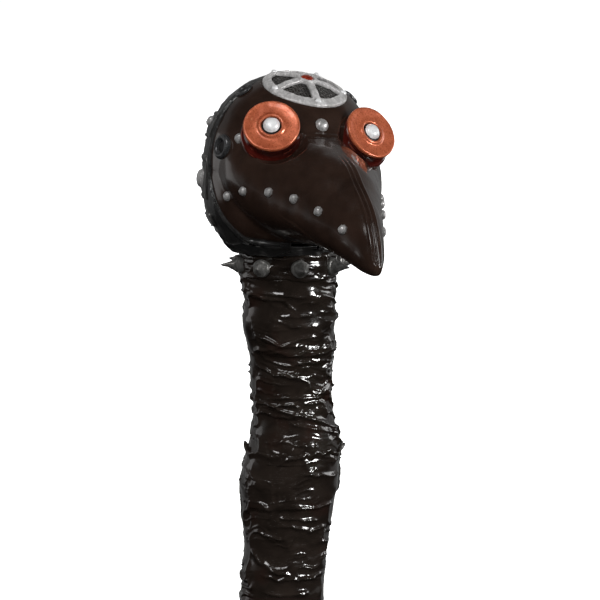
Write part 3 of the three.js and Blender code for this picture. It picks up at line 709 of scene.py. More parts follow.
def mask_grid():
    """Outer rings from the rim to the tip, then inner rings from the rim to the middle of the bore."""
    cols = 330
    turn = np.arange(cols) / cols * 2 * np.pi
    theta = turn - 0.42 * np.sin(turn)
    edge = np.full(cols, FACE_EDGE)
    for _ in range(14):
        ring = solve_ring(theta, edge, face_distance, ring_middle(edge))
        edge = 0.5 * edge + 0.5 * (rim_forward(ring[:, 2]) + 0.45)
    stations = np.concatenate([np.linspace(FACE_EDGE, 30, 100, endpoint=False), np.linspace(30, 80.3, 158)])
    rings = []
    for f in stations:
        lead = (edge - FACE_EDGE) * (1 - smoothstep(FACE_EDGE, 34, f))
        here = np.minimum(f + lead, 80.3)
        rings.append(solve_ring(theta, here, face_distance, ring_middle(here)))
    outer = np.array(rings)
    outer = seat_goggles(outer + grid_normals(outer) * mask_relief(outer)[..., None])
    tip = outer[-1].mean(axis=0)
    caps = []
    for size in (0.88, 0.66, 0.36):
        cap = tip + (outer[-1] - tip) * size
        cap[:, 1] += 0.95 * math.sqrt(1 - size * size)
        caps.append(cap)
    return sink_crown(outer), np.array(caps), tip + np.array([0, 1.0, 0]), edge, theta


def build_mask():
    outer, caps, tip, edge, theta = mask_grid()
    bore = lambda x, f, u: dome_distance(x, f, u, BORE_SCALE)
    inner = []
    far = HEAD_RADIUS * BORE_SCALE - 0.02
    for share in (0, 0.15, 0.3, 0.5, 0.7, 0.85, 0.95, 0.99):
        f = edge + (far - edge) * share
        middle = np.zeros_like(f)
        inner.append(solve_ring(theta, f, bore, middle))
    lip = outer[0] + (inner[0] - outer[0]) * 0.12 + np.array([0, -0.12, 0])
    grid = np.concatenate([np.array(inner)[::-1], lip[None], outer, caps])
    grid = head_to_part(grid)
    start = head_to_part(np.array([0, far, 0.0]))
    piece = add_skin("mask_face", grid, KIT["mask"], start, head_to_part(tip))
    stands_for(piece, "mask_resin", "mask_shell")


# ---------------------------------------------------------------- the hood
def hood_rows():
    angles = np.linspace(math.radians(86.7), math.asin(JOWL_LEVEL / HEAD_RADIUS), 118)
    dome = HEAD_RADIUS * np.sin(angles)
    return np.concatenate([dome, np.linspace(JOWL_LEVEL - 0.3, -27.6, 62), np.linspace(-27.7, -30.9, 14)])


def hood_outer_radius(u):
    head = head_radius(u)
    neck = NECK_RADIUS - 0.35 * smoothstep(-27, -31, u) + 0 * u
    blend = np.where(u < -14, -smooth_union(-head, -neck, 5.0), head)
    return np.where(u < -22, np.minimum(blend, 28), head)


def hood_relief(points):
    """Soft puckers of the hood: long folds that run down the back and shallow dents."""
    x, f, u = points[..., 0], points[..., 1], points[..., 2]
    waves = noise(np.stack([x / 5, f / 5, u / 14], -1), 21) * 0.3
    crease = ridged(np.stack([x / 9, f / 9, u / 6], -1) + 0.5 * noise(points / 7, 22)[..., None], 23) ** 5
    neck = smoothstep(-22, -27, u)
    pinch = ridged(np.stack([x / 16, f / 16, u / 2.2], -1), 24) ** 3
    return waves + 0.3 * crease + 0.22 * neck * (pinch - 0.4)


def build_hood():
    half = 150
    rows = []
    levels = hood_rows()
    for u in levels:
        closed = u < -27.65
        r = float(hood_outer_radius(np.array(u)))
        edge = 0.0 if closed else math.acos(min(1.0, (float(rim_forward(np.array(u))) - 0.45) / r))
        azimuth = np.linspace(edge, 2 * math.pi - edge, half)
        outer = np.stack([r * np.sin(azimuth), r * np.cos(azimuth), np.full(half, u)], -1)
        off_edge = np.minimum(azimuth - edge, 2 * math.pi - edge - azimuth) * r
        free = smoothstep(0.4, 2.5, off_edge) if not closed else np.ones(half)
        lift = hood_relief(outer) * free * smoothstep(27.5, 20, u)
        normal = head_normal(np.degrees(azimuth), np.array(u))
        outer = outer + normal * lift[:, None]
        thick = 2.2
        inner = outer[::-1] * np.array([1 - thick / r, 1 - thick / r, 1.0])
        rows.append(np.concatenate([outer, inner]))
    grid = np.array(rows)
    low = smoothstep(-24, -30, grid[..., 2])
    grid[..., 2] += low * 0.0928 * grid[..., 0]
    grid = sink_crown(grid)
    cols = 2 * half
    points = head_to_part(grid).reshape(-1, 3)
    faces = []
    throat = int(np.argmax(levels < -27.65))
    for i in range(len(levels) - 1):
        for j in range(cols):
            bridge = j in (half - 1, cols - 1)
            if bridge and i >= throat:
                continue
            k = (j + 1) % cols
            faces.append((i * cols + j, i * cols + k, (i + 1) * cols + k, (i + 1) * cols + j))
    top = len(points)
    points = np.vstack([points, head_to_part(np.array([[0, 0.2, 27.2]]))])
    faces += [(j, (j + 1) % cols, top) for j in range(cols)]
    last = (len(levels) - 1) * cols
    for j in range(half - 1):
        faces.append((last + j, last + j + 1, last + cols - 2 - j, last + cols - 1 - j))
    piece = add_mesh("hood_back", points, faces, KIT["hood"])
    weld(piece)
    stands_for(piece, "hood_resin", "hood_shell")


def weld(piece, gap=1e-6):
    work = bmesh.new()
    work.from_mesh(piece.data)
    bmesh.ops.remove_doubles(work, verts=work.verts, dist=gap)
    bmesh.ops.recalc_face_normals(work, faces=work.faces)
    work.to_mesh(piece.data)
    work.free()
    piece.data.shade_smooth()


# ---------------------------------------------------------------- sweeps: welts and straps
def sweep(name, centres, normals, section, material, wobble=None):
    """Carries a closed section of (lift, side) pairs along a path on the head."""
    centres, normals = np.asarray(centres), np.asarray(normals)
    ahead = np.gradient(centres, axis=0)
    ahead /= np.linalg.norm(ahead, axis=1, keepdims=True)
    across = np.cross(ahead, normals)
    across /= np.linalg.norm(across, axis=1, keepdims=True)
    section = np.asarray(section, float)
    outward = normals[:, None] * section[None, :, :1]
    sideways = across[:, None] * section[None, :, 1:]
    grid = centres[:, None] + outward + sideways
    if wobble:
        grid = grid + normals[:, None] * wobble(grid)[..., None]
    caps = [grid[0].mean(axis=0), grid[-1].mean(axis=0)]
    return add_skin(name, head_to_part(grid), material, head_to_part(caps[0]), head_to_part(caps[1]))


def build_welts():
    """The rolled edge round the mask: two beads with a sewn groove between them."""
    side = np.linspace(-1.0, 1.0, 27)
    beads = 0.15 + 0.5 * np.abs(np.sin(np.pi * side)) ** 0.75
    section = [(-1.6, -0.8), (-0.6, -0.86)] + list(zip(beads, side * 0.84)) + [(-0.6, 0.86), (-1.6, 0.8)]
    for name, sign in (("left", -1), ("right", 1)):
        u = np.linspace(17.8, CHIN_LEVEL - 0.9, 230)
        azimuth = np.degrees(np.arccos(rim_forward(u) / head_radius(u)))
        turn = np.linspace(azimuth[-1], 14, 60)[1:]
        azimuth = np.concatenate([azimuth, turn]) * sign
        u = np.concatenate([u, np.full(59, u[-1])])
        azimuth = smooth_line(azimuth, 9)
        u = smooth_line(u, 9)
        centres = head_point(azimuth, u)
        normals = head_normal(azimuth, u)
        stitch = lambda g: 0.07 * noise(g / 1.1, 31) + 0.12 * noise(g / 4.0, 32)
        piece = sweep(f"rim_welt_{name}_roll", centres, normals, section, KIT["strap"], stitch)
        stands_for(piece, "strap_resin", f"rim_welt_{name}")


def smooth_line(values, reach):
    kernel = np.hanning(2 * reach + 3)[1:-1]
    kernel /= kernel.sum()
    padded = np.concatenate([
        2 * values[0] - values[1:reach + 1][::-1], values, 2 * values[-1] - values[-reach - 1:-1][::-1],
    ])
    return np.convolve(padded, kernel, "valid")


def strap_section(half_width, thick):
    """A flat strap with rounded edges, a raised border and a sewn groove inside each border."""
    side = np.linspace(-1, 1, 41)
    body = thick * (1 - np.abs(side) ** 10) ** (1 / 6)
    border = 0.16 * np.exp(-((np.abs(side) - 0.86) / 0.07) ** 2)
    groove = 0.26 * np.exp(-((np.abs(side) - 0.7) / 0.05) ** 2)
    lift = body + border - groove
    top = list(zip(lift, side * half_width))
    return [(-0.5, -half_width * 0.98)] + top + [(-0.5, half_width * 0.98)]


def build_straps():
    straps = {
        "rear_strap_upper": (5.2, 13.6, 41),
        "rear_strap_lower": (-15.4, -0.6, 42),
        "nape_strap": (-24.4, -20.0, 43),
    }
    for name, (low, high, seed) in straps.items():
        azimuth = np.linspace(93, 267, 260)
        middle = (low + high) / 2
        u = middle + 0.35 * noise(np.stack([azimuth / 25, 0 * azimuth, 0 * azimuth], -1), seed)
        half = (high - low) / 2 / math.cos(math.atan2(middle, HEAD_RADIUS))
        grid_rows = []
        section = np.array(strap_section(half, 0.42))
        for a, level in zip(azimuth, u):
            start = smoothstep(93, 97, a) * smoothstep(267, 263, a)
            across = section[:, 1] / half * (high - low) / 2
            z = level + across
            base = head_point(np.full_like(z, a), z)
            out = head_normal(np.full_like(z, a), z)
            stand = 0.02 + 0.14 * math.sin(math.radians(a * 9)) * start
            lift = section[:, 0] + stand
            puck = 0.14 * noise(base / 3.2, seed + 1) + 0.05 * noise(base / 1.2, seed + 2)
            grid_rows.append(base + out * (lift + puck)[:, None])
        grid = np.array(grid_rows)
        caps = [head_to_part(grid[0].mean(axis=0)), head_to_part(grid[-1].mean(axis=0))]
        piece = add_skin(f"{name}_leather", head_to_part(grid), KIT["strap"], *caps)
        stands_for(piece, "strap_resin", name)
    build_crown_strap()


def build_crown_strap():
    elevation = np.radians(np.linspace(57, 28, 70))
    section = np.array(strap_section(4.0, 1.0))
    rows = []
    for e in elevation:
        centre = HEAD_RADIUS * np.array([0, -math.cos(e), math.sin(e)])
        out = centre / HEAD_RADIUS
        side = np.array([1.0, 0, 0])
        curl = section[:, 1]
        drop = np.sqrt(np.maximum(HEAD_RADIUS ** 2 - curl ** 2, 0)) - HEAD_RADIUS
        rows.append(centre + out * (section[:, :1] + 0.35 + drop[:, None]) + side * curl[:, None])
    grid = np.array(rows)
    grid = grid + grid_normals(grid) * (0.1 * noise(grid / 2.0, 47))[..., None]
    caps = [head_to_part(grid[0].mean(axis=0)), head_to_part(grid[-1].mean(axis=0))]
    piece = add_skin("crown_strap_leather", head_to_part(grid), KIT["strap"], *caps)
    stands_for(piece, "strap_resin", "crown_strap")


# ---------------------------------------------------------------- studs and eyelets
def add_turned(name, corners, origin, normal, material, segments=48, **shape):
    """A turned piece set on the head, in head coordinates."""
    grid = turned(corners, segments, **shape)
    low, high = grid[0].mean(axis=0), grid[-1].mean(axis=0)
    place = lambda points: head_to_part(place_on(points, origin, normal))
    return add_skin(name, place(grid), material, place(low), place(high))


def dome_corners(radius, height, foot=0.9):
    corners = [(0.02, -foot), (radius * 0.98, -foot), (radius, 0.05), (radius * 0.95, 0.18)]
    for i in range(1, 9):
        a = i / 9 * math.pi / 2
        corners.append((radius * 0.9 * math.cos(a), 0.18 + (height - 0.18) * math.sin(a)))
    return corners + [(0.02, height)]


def build_stud(node, origin, normal, radius, height, seed, lift=0.1):
    origin = np.array(origin) + np.array(normal) * lift
    piece = add_turned(f"{node}_cast", dome_corners(radius, height), origin, normal, KIT["stud"], 40,
                       lumps=0.1, lump_size=1.1, seed=seed, spacing=0.3)
    stands_for(piece, "old_silver", node)


def face_half_width(f, u):
    dome = np.sqrt(np.maximum(head_radius(u) ** 2 - f ** 2, 0))
    half, top, widest, bottom = curve(BEAK, np.array(f))
    share = (u - widest) / ((top - widest) if u > widest else (widest - bottom))
    return max(float(half * math.sqrt(max(1 - share * share, 0))), float(dome))


def cheek_place(i, sign):
    f = 11.4 + 11 * i
    u = -9.2 - 0.0075 * (f - 34) ** 2
    step = 1.5
    along = (face_half_width(f + step, u) - face_half_width(f - step, u)) / (2 * step)
    rise = (face_half_width(f, u + step) - face_half_width(f, u - step)) / (2 * step)
    normal = np.array([sign, -along, -rise])
    return np.array([sign * face_half_width(f, u), f, u]), normal / np.linalg.norm(normal)


def build_fasteners():
    seed = 60
    build_stud("brow_stud", head_point(0, 13.1), head_normal(0, 13.1), 2.2, 1.4, seed)
    for side, sign in (("left", -1), ("right", 1)):
        single = [
            (f"temple_stud_{side}", 59.5, 6.4, 1.7, 1.3, 0.1),
            (f"rear_stud_upper_{side}", 105.5, 10.1, 1.9, 1.3, 0.5),
            (f"rear_stud_lower_{side}", 107, -9.0, 3.5, 2.0, 0.4),
        ]
        for node, azimuth, u, radius, height, lift in single:
            seed += 1
            build_stud(node, head_point(sign * azimuth, u), head_normal(sign * azimuth, u), radius,
                       height, seed, lift)
        for i in range(6):
            seed += 1
            origin, normal = cheek_place(i, sign)
            build_stud(f"cheek_stud_{side}_{i + 1}", origin, normal, 1.6, 1.25 if sign < 0 else 0.8, seed)
        for level, azimuth, u, size in (("lower", 73, 2.9, 1.0), ("upper", 84.5, 21.5, 0.75)):
            seed += 1
            build_eyelet(f"eyelet_{level}_{side}", sign * azimuth, u, size, seed)


def build_eyelet(node, azimuth, u, size, seed):
    """A rolled ring with a black disc in its hole, painted shade for the dark inside the eyelet."""
    normal = head_normal(azimuth * 1.08, u)
    origin = head_point(azimuth, u) + 0.2 * normal
    ring = [
        (2.0, -0.9), (4.1, -0.9), (4.15, 0.15), (3.9, 0.75), (3.3, 1.15), (2.75, 1.05),
        (2.3, 0.7), (2.05, 0.1), (2.0, -0.6),
    ]
    ring = [(r * size, z * size * size) for r, z in ring]
    grid = turned(ring, 56, radius=0.35, spacing=0.3, lumps=0.09, lump_size=1.4, seed=seed)
    grid = head_to_part(place_on(grid, origin, normal))
    piece = add_skin(f"{node}_ring", grid, KIT["gunmetal"], close_rows=True)
    stands_for(piece, "gunmetal", node)
    # The black disc is painted shade: it covers the mask inside the ring so that the hole reads dark.
    shade_disc_profile = [(0.02, -0.6), (2.06, -0.6), (2.06, -0.1), (1.6, -0.02), (0.02, 0.05)]
    shade_disc_profile = [(r * size, z * size * size) for r, z in shade_disc_profile]
    shade_disc = add_turned(f"{node}_well", shade_disc_profile, origin, normal, KIT["rubber"], 32, lumps=0.02, seed=seed)
    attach(shade_disc, "root")


# ---------------------------------------------------------------- goggles
def build_goggles():
    for side, sign in (("left", -1), ("right", 1)):
        place, look = goggle_frame(side)
        barrel = [
            (0.02, -12.0), (9.4, -12.0), (10.1, -8.4), (10.3, -6.4), (10.25, -5.4), (9.95, -4.85),
            (9.4, -4.55),
            (8.95, -4.1), (8.75, -3.4), (8.7, -2.3), (8.75, -1.8), (8.95, -1.5), (8.9, -1.1), (8.5, -0.9),
            (0.02, -0.9),
        ]
        piece = add_turned(f"goggle_barrel_{side}_tube", barrel, place, look, KIT["oxblood"], 96,
                           radius=0.5, spacing=0.5, lumps=0.08, lump_size=4.0, seed=80 + sign)
        stands_for(piece, "oxblood_enamel", f"goggle_barrel_{side}")
        flange = [
            (3.05, -0.85), (8.5, -0.85), (9.05, -0.75), (9.25, -0.35), (9.27, 0.2), (9.15, 0.55),
            (8.85, 0.74),
            (8.4, 0.72), (7.9, 0.64), (7.0, 0.52), (5.8, 0.44), (4.9, 0.48), (4.5, 0.7), (4.2, 0.98),
            (3.85, 1.08), (3.5, 1.0), (3.3, 0.7), (3.2, 0.2), (3.05, -0.3),
        ]
        grid = turned(flange, 120, radius=0.3, spacing=0.3, lumps=0.07, lump_size=2.6, seed=84 + sign)
        grid = head_to_part(place_on(grid, place, look))
        piece = add_skin(f"goggle_flange_{side}_disc", grid, KIT["copper"], close_rows=True)
        stands_for(piece, "copper_paint", f"goggle_flange_{side}")
        seat = [(0.02, -0.6), (3.15, -0.6), (3.15, 0.35), (2.9, 0.5), (0.02, 0.45)]
        piece = add_turned(f"goggle_gasket_{side}_seat", seat, place, look, KIT["rubber"], 48, lumps=0.02)
        stands_for(piece, "black_rubber", f"goggle_gasket_{side}")
        boss = dome_corners(2.72, 1.45, 0.4)
        piece = add_turned(f"goggle_boss_{side}_cap", boss, place + look * 0.95, look, KIT["boss"], 64,
                           lumps=0.08, lump_size=1.6, seed=88 + sign, spacing=0.3)
        stands_for(piece, "old_silver", f"goggle_boss_{side}")


# ---------------------------------------------------------------- crown
def crown_to_head(points):
    """Crown coordinates, with z along the wheel's axis, to head coordinates."""
    points = np.asarray(points, float)
    c, s = math.cos(WHEEL_TILT), math.sin(WHEEL_TILT)
    x, y, z = points[..., 0], points[..., 1], points[..., 2]
    return np.stack([x, -y * c + z * s, y * s + z * c], -1)


def build_wheel():
    """The five-spoked wheel, remeshed from its CAD solid and rounded as a hand-finished casting."""
    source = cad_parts["crown_wheel"]
    mesh = source.data.copy()
    mesh.name = "crown_wheel_cast"
    piece = bpy.data.objects.new("crown_wheel_cast", mesh)
    bpy.context.scene.collection.objects.link(piece)
    apply_modifiers(piece, [
        ("REMESH", {"mode": "VOXEL", "voxel_size": 0.24 * MM}),
        ("SMOOTH", {"factor": 0.5, "iterations": 9}),
    ])
    co = np.zeros(len(mesh_of(piece).vertices) * 3)
    mesh_of(piece).vertices.foreach_get("co", co)
    co = co.reshape(-1, 3) / MM
    out = co - np.array(HEAD_CENTRE)
    out /= np.linalg.norm(out, axis=1, keepdims=True)
    hammer = 0.1 * noise(co / 1.5, 91) + 0.06 * noise(co / 0.7, 92)
    co = (co + out * hammer[:, None]) * MM
    mesh_of(piece).vertices.foreach_set("co", co.reshape(-1))
    mesh_of(piece).shade_smooth()
    mesh_of(piece).materials.clear()
    mesh_of(piece).materials.append(KIT["silver"])
    stands_for(piece, "old_silver", "crown_wheel")


def build_rivets():
    """Small domes that hold each spoke of the wheel."""
    reach = WHEEL_RADIUS - WHEEL_RIM / 2
    top = HEAD_RADIUS - WHEEL_SINK + WHEEL_THICK
    for i in range(SPOKES):
        angle = i * 2 * math.pi / SPOKES
        height = math.sqrt(top ** 2 - reach ** 2)
        local = np.array([reach * math.sin(angle), -reach * math.cos(angle), height])
        origin = crown_to_head(local)
        normal = origin / np.linalg.norm(origin)
        piece = add_turned(f"crown_rivet_{i + 1}", dome_corners(1.05, 0.75, 0.4), origin, normal,
                           KIT["boss"], 28, lumps=0.08, lump_size=0.8, seed=140 + i, spacing=0.25)
        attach(piece, "root")


def mesh_of(piece):
    return piece.data


def apply_modifiers(piece, modifiers):
    for kind, settings in modifiers:
        modifier = piece.modifiers.new(kind.lower(), kind)
        for key, value in settings.items():
            setattr(modifier, key, value)
    bpy.context.view_layer.update()
    graph = bpy.context.evaluated_depsgraph_get()
    made = bpy.data.meshes.new_from_object(piece.evaluated_get(graph))
    piece.modifiers.clear()
    piece.data = made


def build_crown_mesh():
    """Woven wire under the wheel: two families of wires that pass over and under each other."""
    pitch = 1.0
    wire = 0.17
    reach = VENT_RADIUS - 0.25
    ball = HEAD_RADIUS - 1.25
    count = int(reach / pitch)
    points, faces = [], []
    ring = np.arange(5) / 5 * 2 * math.pi
    for family in (0, 1):
        for k in range(-count, count + 1):
            offset = k * pitch
            half = math.sqrt(max(reach ** 2 - offset ** 2, 0))
            if half < 1.0:
                continue
            steps = max(6, int(2 * half / 0.26))
            t = np.linspace(-half, half, steps)
            wave = 0.15 * np.cos(np.pi * t / pitch) * (1 if (k + family) % 2 else -1)
            across = np.full_like(t, offset)
            a, b = (t, across) if family == 0 else (across, t)
            r = ball + wave
            z = np.sqrt(np.maximum(r ** 2 - a ** 2 - b ** 2, 0))
            path = np.stack([a, b, z], -1)
            ahead = np.gradient(path, axis=0)
            ahead /= np.linalg.norm(ahead, axis=1, keepdims=True)
            up = path / np.linalg.norm(path, axis=1, keepdims=True)
            side = np.cross(ahead, up)
            tube = path[:, None] + wire * (np.cos(ring)[None, :, None] * up[:, None]
                                           + np.sin(ring)[None, :, None] * side[:, None])
            base = len(points)
            points.extend(tube.reshape(-1, 3).tolist())
            faces.extend([tuple(base + v for v in face) for face in grid_faces(steps, 5)])
            faces.append(tuple(base + v for v in range(4, -1, -1)))
            faces.append(tuple(base + (steps - 1) * 5 + v for v in range(5)))
    grid = head_to_part(crown_to_head(np.array(points)))
    piece = add_mesh("crown_mesh_weave", grid, faces, KIT["mesh"])
    stands_for(piece, "dark_mesh", "crown_mesh")


def build_jewel():
    axis = wheel_axis()
    origin = axis * (HEAD_RADIUS - WHEEL_SINK)
    corners = [
        (0.02, -0.3), (2.2, -0.3), (2.25, 0.8), (2.1, 1.25), (1.7, 1.6), (1.15, 1.83), (0.55, 1.93),
        (0.02, 1.95),
    ]
    piece = add_turned("crown_jewel_cabochon", corners, origin, axis, KIT["jewel"], 48, radius=0.4,
                       spacing=0.25)
    stands_for(piece, "red_jewel", "crown_jewel")
    bezel = [
        (2.25, 0.4), (3.3, 0.4), (3.35, 1.15), (3.1, 1.4), (2.8, 1.48), (2.55, 1.4), (2.35, 1.2), (2.25, 0.9),
    ]
    grid = turned(bezel, 64, radius=0.3, spacing=0.25, lumps=0.08, lump_size=1.0, seed=95)
    grid = head_to_part(place_on(grid, origin, axis))
    piece = add_skin("crown_jewel_bezel", grid, KIT["silver"], close_rows=True)
    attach(piece, "root")


# ---------------------------------------------------------------- collar and spikes
def build_collar():
    cols = 300
    angle = np.arange(cols) / cols * 2 * math.pi
    profile = rounded_profile([
        (14.2, 131.4), (14.2, 130.4), (16.2, 130.4), (16.9, 131.2), (16.5, 132.2), (16.55, 134.5),
        (16.6, 137.2), (17.0, 138.3), (16.3, 139.2), (14.2, 139.2), (14.2, 137.5), (14.2, 131.4),
    ], 0.5)
    profile = refined(profile, 0.32)
    r, z = profile[:, :1], profile[:, 1:]
    unit = np.stack([np.sin(angle), -np.cos(angle)], -1)
    ring = np.stack([unit[:, 0] * 1.4, unit[:, 1] * 1.4], -1)
    place = np.concatenate([np.broadcast_to(ring[None], (len(profile), cols, 2)),
                            np.broadcast_to((z / 2.4)[..., None], (len(profile), cols, 1))], -1)
    outer = smoothstep(15.0, 16.0, r)
    fold = ridged(place * np.array([1.6, 1.6, 0.9]) + 0.6 * noise(place, 101)[..., None], 102) ** 3
    degrees = np.degrees(angle)
    lump = np.exp(-((degrees - 26) / 7) ** 2)[None] * smoothstep(130, 133, z)
    edge = noise(np.stack([unit[:, 0] * 4, unit[:, 1] * 4, 0 * angle], -1), 103)[None]
    z = z + smoothstep(137, 139, z) * 0.7 * edge - smoothstep(132.5, 130.5, z) * 0.6 * edge
    calm = 1 - 0.85 * lump
    push = outer * (calm * (0.5 * fold + 0.3 * noise(place * 2.2, 104) - 0.3) + 0.8 * lump)
    reach = r + push
    grid = np.stack([COLLAR_X + reach * unit[:, 0], reach * unit[:, 1], z + 0 * reach], -1)
    piece = add_skin("collar_band_leather", grid, KIT["collar"], close_rows=True)
    stands_for(piece, "strap_resin", "collar_band")


def build_spikes():
    middle = (COLLAR_BOTTOM + COLLAR_TOP) / 2
    for i in range(8):
        a = math.radians(SPIKE_FIRST + 45 * i)
        out = np.array([math.sin(a), -math.cos(a), 0.0])
        length = 3.4 if i == 7 else 6.8
        hollow = 1.7 if i == 6 else 1.1
        corners = [(0.02, -1.2), (2.9, -1.2), (3.0, 0.2), (2.8, 0.75), (2.45, 1.0)]
        for k in range(1, 8):
            share = k / 8
            corners.append((2.45 * (1 - share) ** hollow + 0.2 * share, 1.0 + (length - 1.0) * share))
        corners.append((0.02, length))
        grid = turned(corners, 40, radius=0.3, spacing=0.35, lumps=0.14, lump_size=1.3, seed=110 + i)
        origin = np.array([COLLAR_X, 0, middle]) + out * (COLLAR_OUTER + 0.3)
        grid = place_on(grid, origin, out)
        piece = add_skin(f"collar_spike_{i + 1}_cast", grid, KIT["spike"],
                         grid[0].mean(axis=0), grid[-1].mean(axis=0))
        stands_for(piece, "old_silver", f"collar_spike_{i + 1}")


# ---------------------------------------------------------------- the wrapped grip
# Larger folds at measured places: path of (azimuth in degrees, height), how high and how wide it is.
FOLDS = [
    ([(-88, 127.4), (-74, 126.7), (-40, 126.0), (-13, 125.5), (0, 125.6)], 0.75, 0.75),
    ([(-86, 125.6), (-72, 125.1), (-27, 124.1), (-18, 121.9), (-14, 120.0)], 0.7, 0.7),
    ([(-35, 118.8), (-16, 118.6), (10, 119.4)], 0.55, 0.6),
    ([(-38, 117.6), (-21, 116.1), (-8, 114.4)], 0.5, 0.5),
    ([(-56, 111.6), (-50, 110.5), (-38, 109.0)], 0.6, 0.6),
    ([(-80, 106.2), (-57, 107.1), (-26, 108.7), (0, 109.0)], 0.8, 0.9),
    ([(-60, 105.4), (-40, 106.4), (0, 105.4), (28, 106.3), (60, 107.2)], 0.9, 0.8),
    ([(-29, 103.8), (6, 102.9), (30, 103.4)], 0.55, 0.6),
    ([(-50, 99.4), (-20, 98.6), (0, 97.0), (4, 94.6), (-4, 93.0)], 0.8, 0.8),
    ([(-60, 90.4), (-36, 91.2), (15, 90.8), (52, 92.5)], 0.7, 0.7),
    ([(-60, 89.0), (-36, 86.8), (-5, 84.3), (42, 80.5), (70, 79.0)], 1.1, 0.9),
    ([(-30, 83.0), (20, 79.5), (60, 77.0)], 0.7, 0.7),
    ([(-64, 76.2), (-36, 76.3), (0, 75.2)], 0.6, 0.6),
    ([(-40, 68.2), (-30, 70.8), (-12, 71.2), (-6, 69.0), (2, 66.8)], 0.8, 0.8),
    ([(-10, 65.9), (38, 63.9), (60, 64.4)], 0.7, 0.7),
    ([(-27, 54.1), (16, 53.8), (48, 54.6)], 0.7, 0.55),
    ([(-36, 50.6), (-11, 50.2), (24, 49.4)], 0.65, 0.6),
    ([(-36, 47.9), (-16, 47.9), (11, 45.9), (40, 46.8)], 0.65, 0.6),
    ([(-45, 43.8), (-34, 42.6)], 0.5, 0.5),
    ([(-79, 38.4), (-47, 34.1), (-32, 32.1), (-10, 31.0)], 0.8, 0.8),
    ([(-55, 31.1), (-26, 29.5), (13, 29.7), (50, 30.6)], 0.7, 0.7),
    ([(-51, 25.4), (-24, 24.2), (20, 24.8)], 0.6, 0.7),
]


def laid_folds(degrees, z, r):
    """Height of the larger folds, over the unrolled skin."""
    around = (degrees + 180) % 360 - 180
    flat = np.stack([np.radians(around) * r, z], -1)
    total = np.zeros_like(z)
    for path, height, width in FOLDS:
        line = [(math.radians(a) * 15.0, level) for a, level in path]
        reach = np.stack([flat[..., 0] * 15.0 / r, flat[..., 1]], -1)
        jitter = 0.35 * noise(np.stack([reach[..., 0] / 2.5, reach[..., 1] / 2.5, 0 * z], -1), 120)
        gap, share = along_path(reach + jitter[..., None], line)
        taper = np.clip(np.sin(np.pi * np.clip(share, 0, 1)) * 2.2 + 0.12, 0, 1)
        total += height * taper * np.exp(-(gap / width) ** 1.5)
    return total


def wrap_relief(angle, z, seed):
    """Random wrinkles: long folds round the stick, pinched creases between them and small crumples."""
    place = np.stack([np.sin(angle) + 0 * z, -np.cos(angle) + 0 * z, z / 15.0], -1)
    warp = 0.45 * noise(place * 2.2, seed) + 0.2 * noise(place * 5.5, seed + 1)
    slope = 0.35 * noise(place * np.array([1.1, 1.1, 0.7]), seed + 2)
    level = z / 15.0 + slope * 0.5 + warp * 0.22
    tall = np.stack([place[..., 0] * 1.25, place[..., 1] * 1.25, level * 3.6], -1)
    folds = ridged(tall + 3.7, seed + 3) ** 2.2
    short = np.stack([place[..., 0] * 2.4, place[..., 1] * 2.4, level * 7.5], -1)
    small = ridged(short + 9.1, seed + 4) ** 2.5
    crumple = np.stack([place[..., 0] * 5.0, place[..., 1] * 5.0, level * 14.0], -1)
    tiny = ridged(crumple + 1.3, seed + 5) ** 2
    busy = smoothstep(-0.35, 0.5, noise(place * np.array([1.6, 1.6, 2.4]), seed + 6))
    swell = 0.55 * noise(place * np.array([1.4, 1.4, 2.2]), seed + 7)
    return swell + 1.15 * folds * (0.25 + 0.75 * busy) + 0.42 * small * busy + 0.14 * tiny * busy


def wrap_outer(angle, z, seed):
    """Radius of the wrapped skin."""
    r = curve(WRAP_PROFILE, z)[..., 0]
    degrees = np.degrees(angle)
    relief = wrap_relief(angle, z, seed)
    return r - 0.25 + relief + laid_folds(degrees, z, r)


def ragged(angle, seed, size):
    place = np.stack([np.sin(angle) * 2.6, -np.cos(angle) * 2.6, 0 * angle], -1)
    rough = noise(place, seed) + 0.5 * noise(place * 2.7, seed + 1)
    return size * (rough + 0.25 * noise(place * 6, seed + 2))


def build_wrap(node, low, high, seed, ragged_size, flare):
    """One sleeve of the grip: outside rows, a torn and flared top edge, and a plain bore."""
    cols = 400
    rows = 212
    angle = np.arange(cols) / cols * 2 * math.pi
    top = high + ragged(angle, seed + 40, ragged_size)
    share = np.linspace(0, 1, rows)[:, None]
    z = low + (top - low)[None] * share
    radius = wrap_outer(angle[None] + 0 * z, z, seed)
    near_top = top[None] - z
    radius = radius + flare * np.exp(-(near_top / 1.6) ** 2)
    lip = []
    for drop, back in ((-0.28, 0.35), (-0.1, 0.85), (0.6, 1.5)):
        lip.append((top - drop, radius[-1] - back))
    lip_z = np.array([entry[0] for entry in lip])
    lip_r = np.array([entry[1] for entry in lip])
    bore_z = np.stack([top - 2.0, np.full(cols, (low + high) / 2),
                       np.full(cols, low + 0.2), np.full(cols, low)])
    bore_r = np.full((4, cols), 11.3)
    z = np.concatenate([z, lip_z, bore_z])
    radius = np.concatenate([radius, lip_r, bore_r])
    line = curve(GRIP_LINE, z)[..., 0]
    grid = np.stack([line + radius * np.sin(angle)[None], -radius * np.cos(angle)[None], z], -1)
    piece = add_skin(f"{node}_skin", grid, KIT["wrap"], close_rows=True)
    stands_for(piece, "wrap_resin", node)


def build_ferrule():
    corners = [
        (0.02, 0.06), (13.4, 0.06), (14.2, 0.4), (14.4, 1.1), (14.4, 4.6), (14.0, 4.9), (14.0, 5.5),
        (14.4, 5.8),
        (14.4, 10.6), (14.0, 10.9), (14.0, 11.5), (14.45, 11.8), (14.45, 13.4), (14.0, 14.0), (0.02, 14.0),
    ]
    grid = turned(corners, 160, radius=0.3, spacing=0.8, lumps=0.03, lump_size=5.0, seed=130)
    piece = add_skin("end_ferrule_turned", grid, KIT["steel"], (0, 0, 0.06), (0, 0, 14.0))
    stands_for(piece, "ferrule_steel", "end_ferrule")


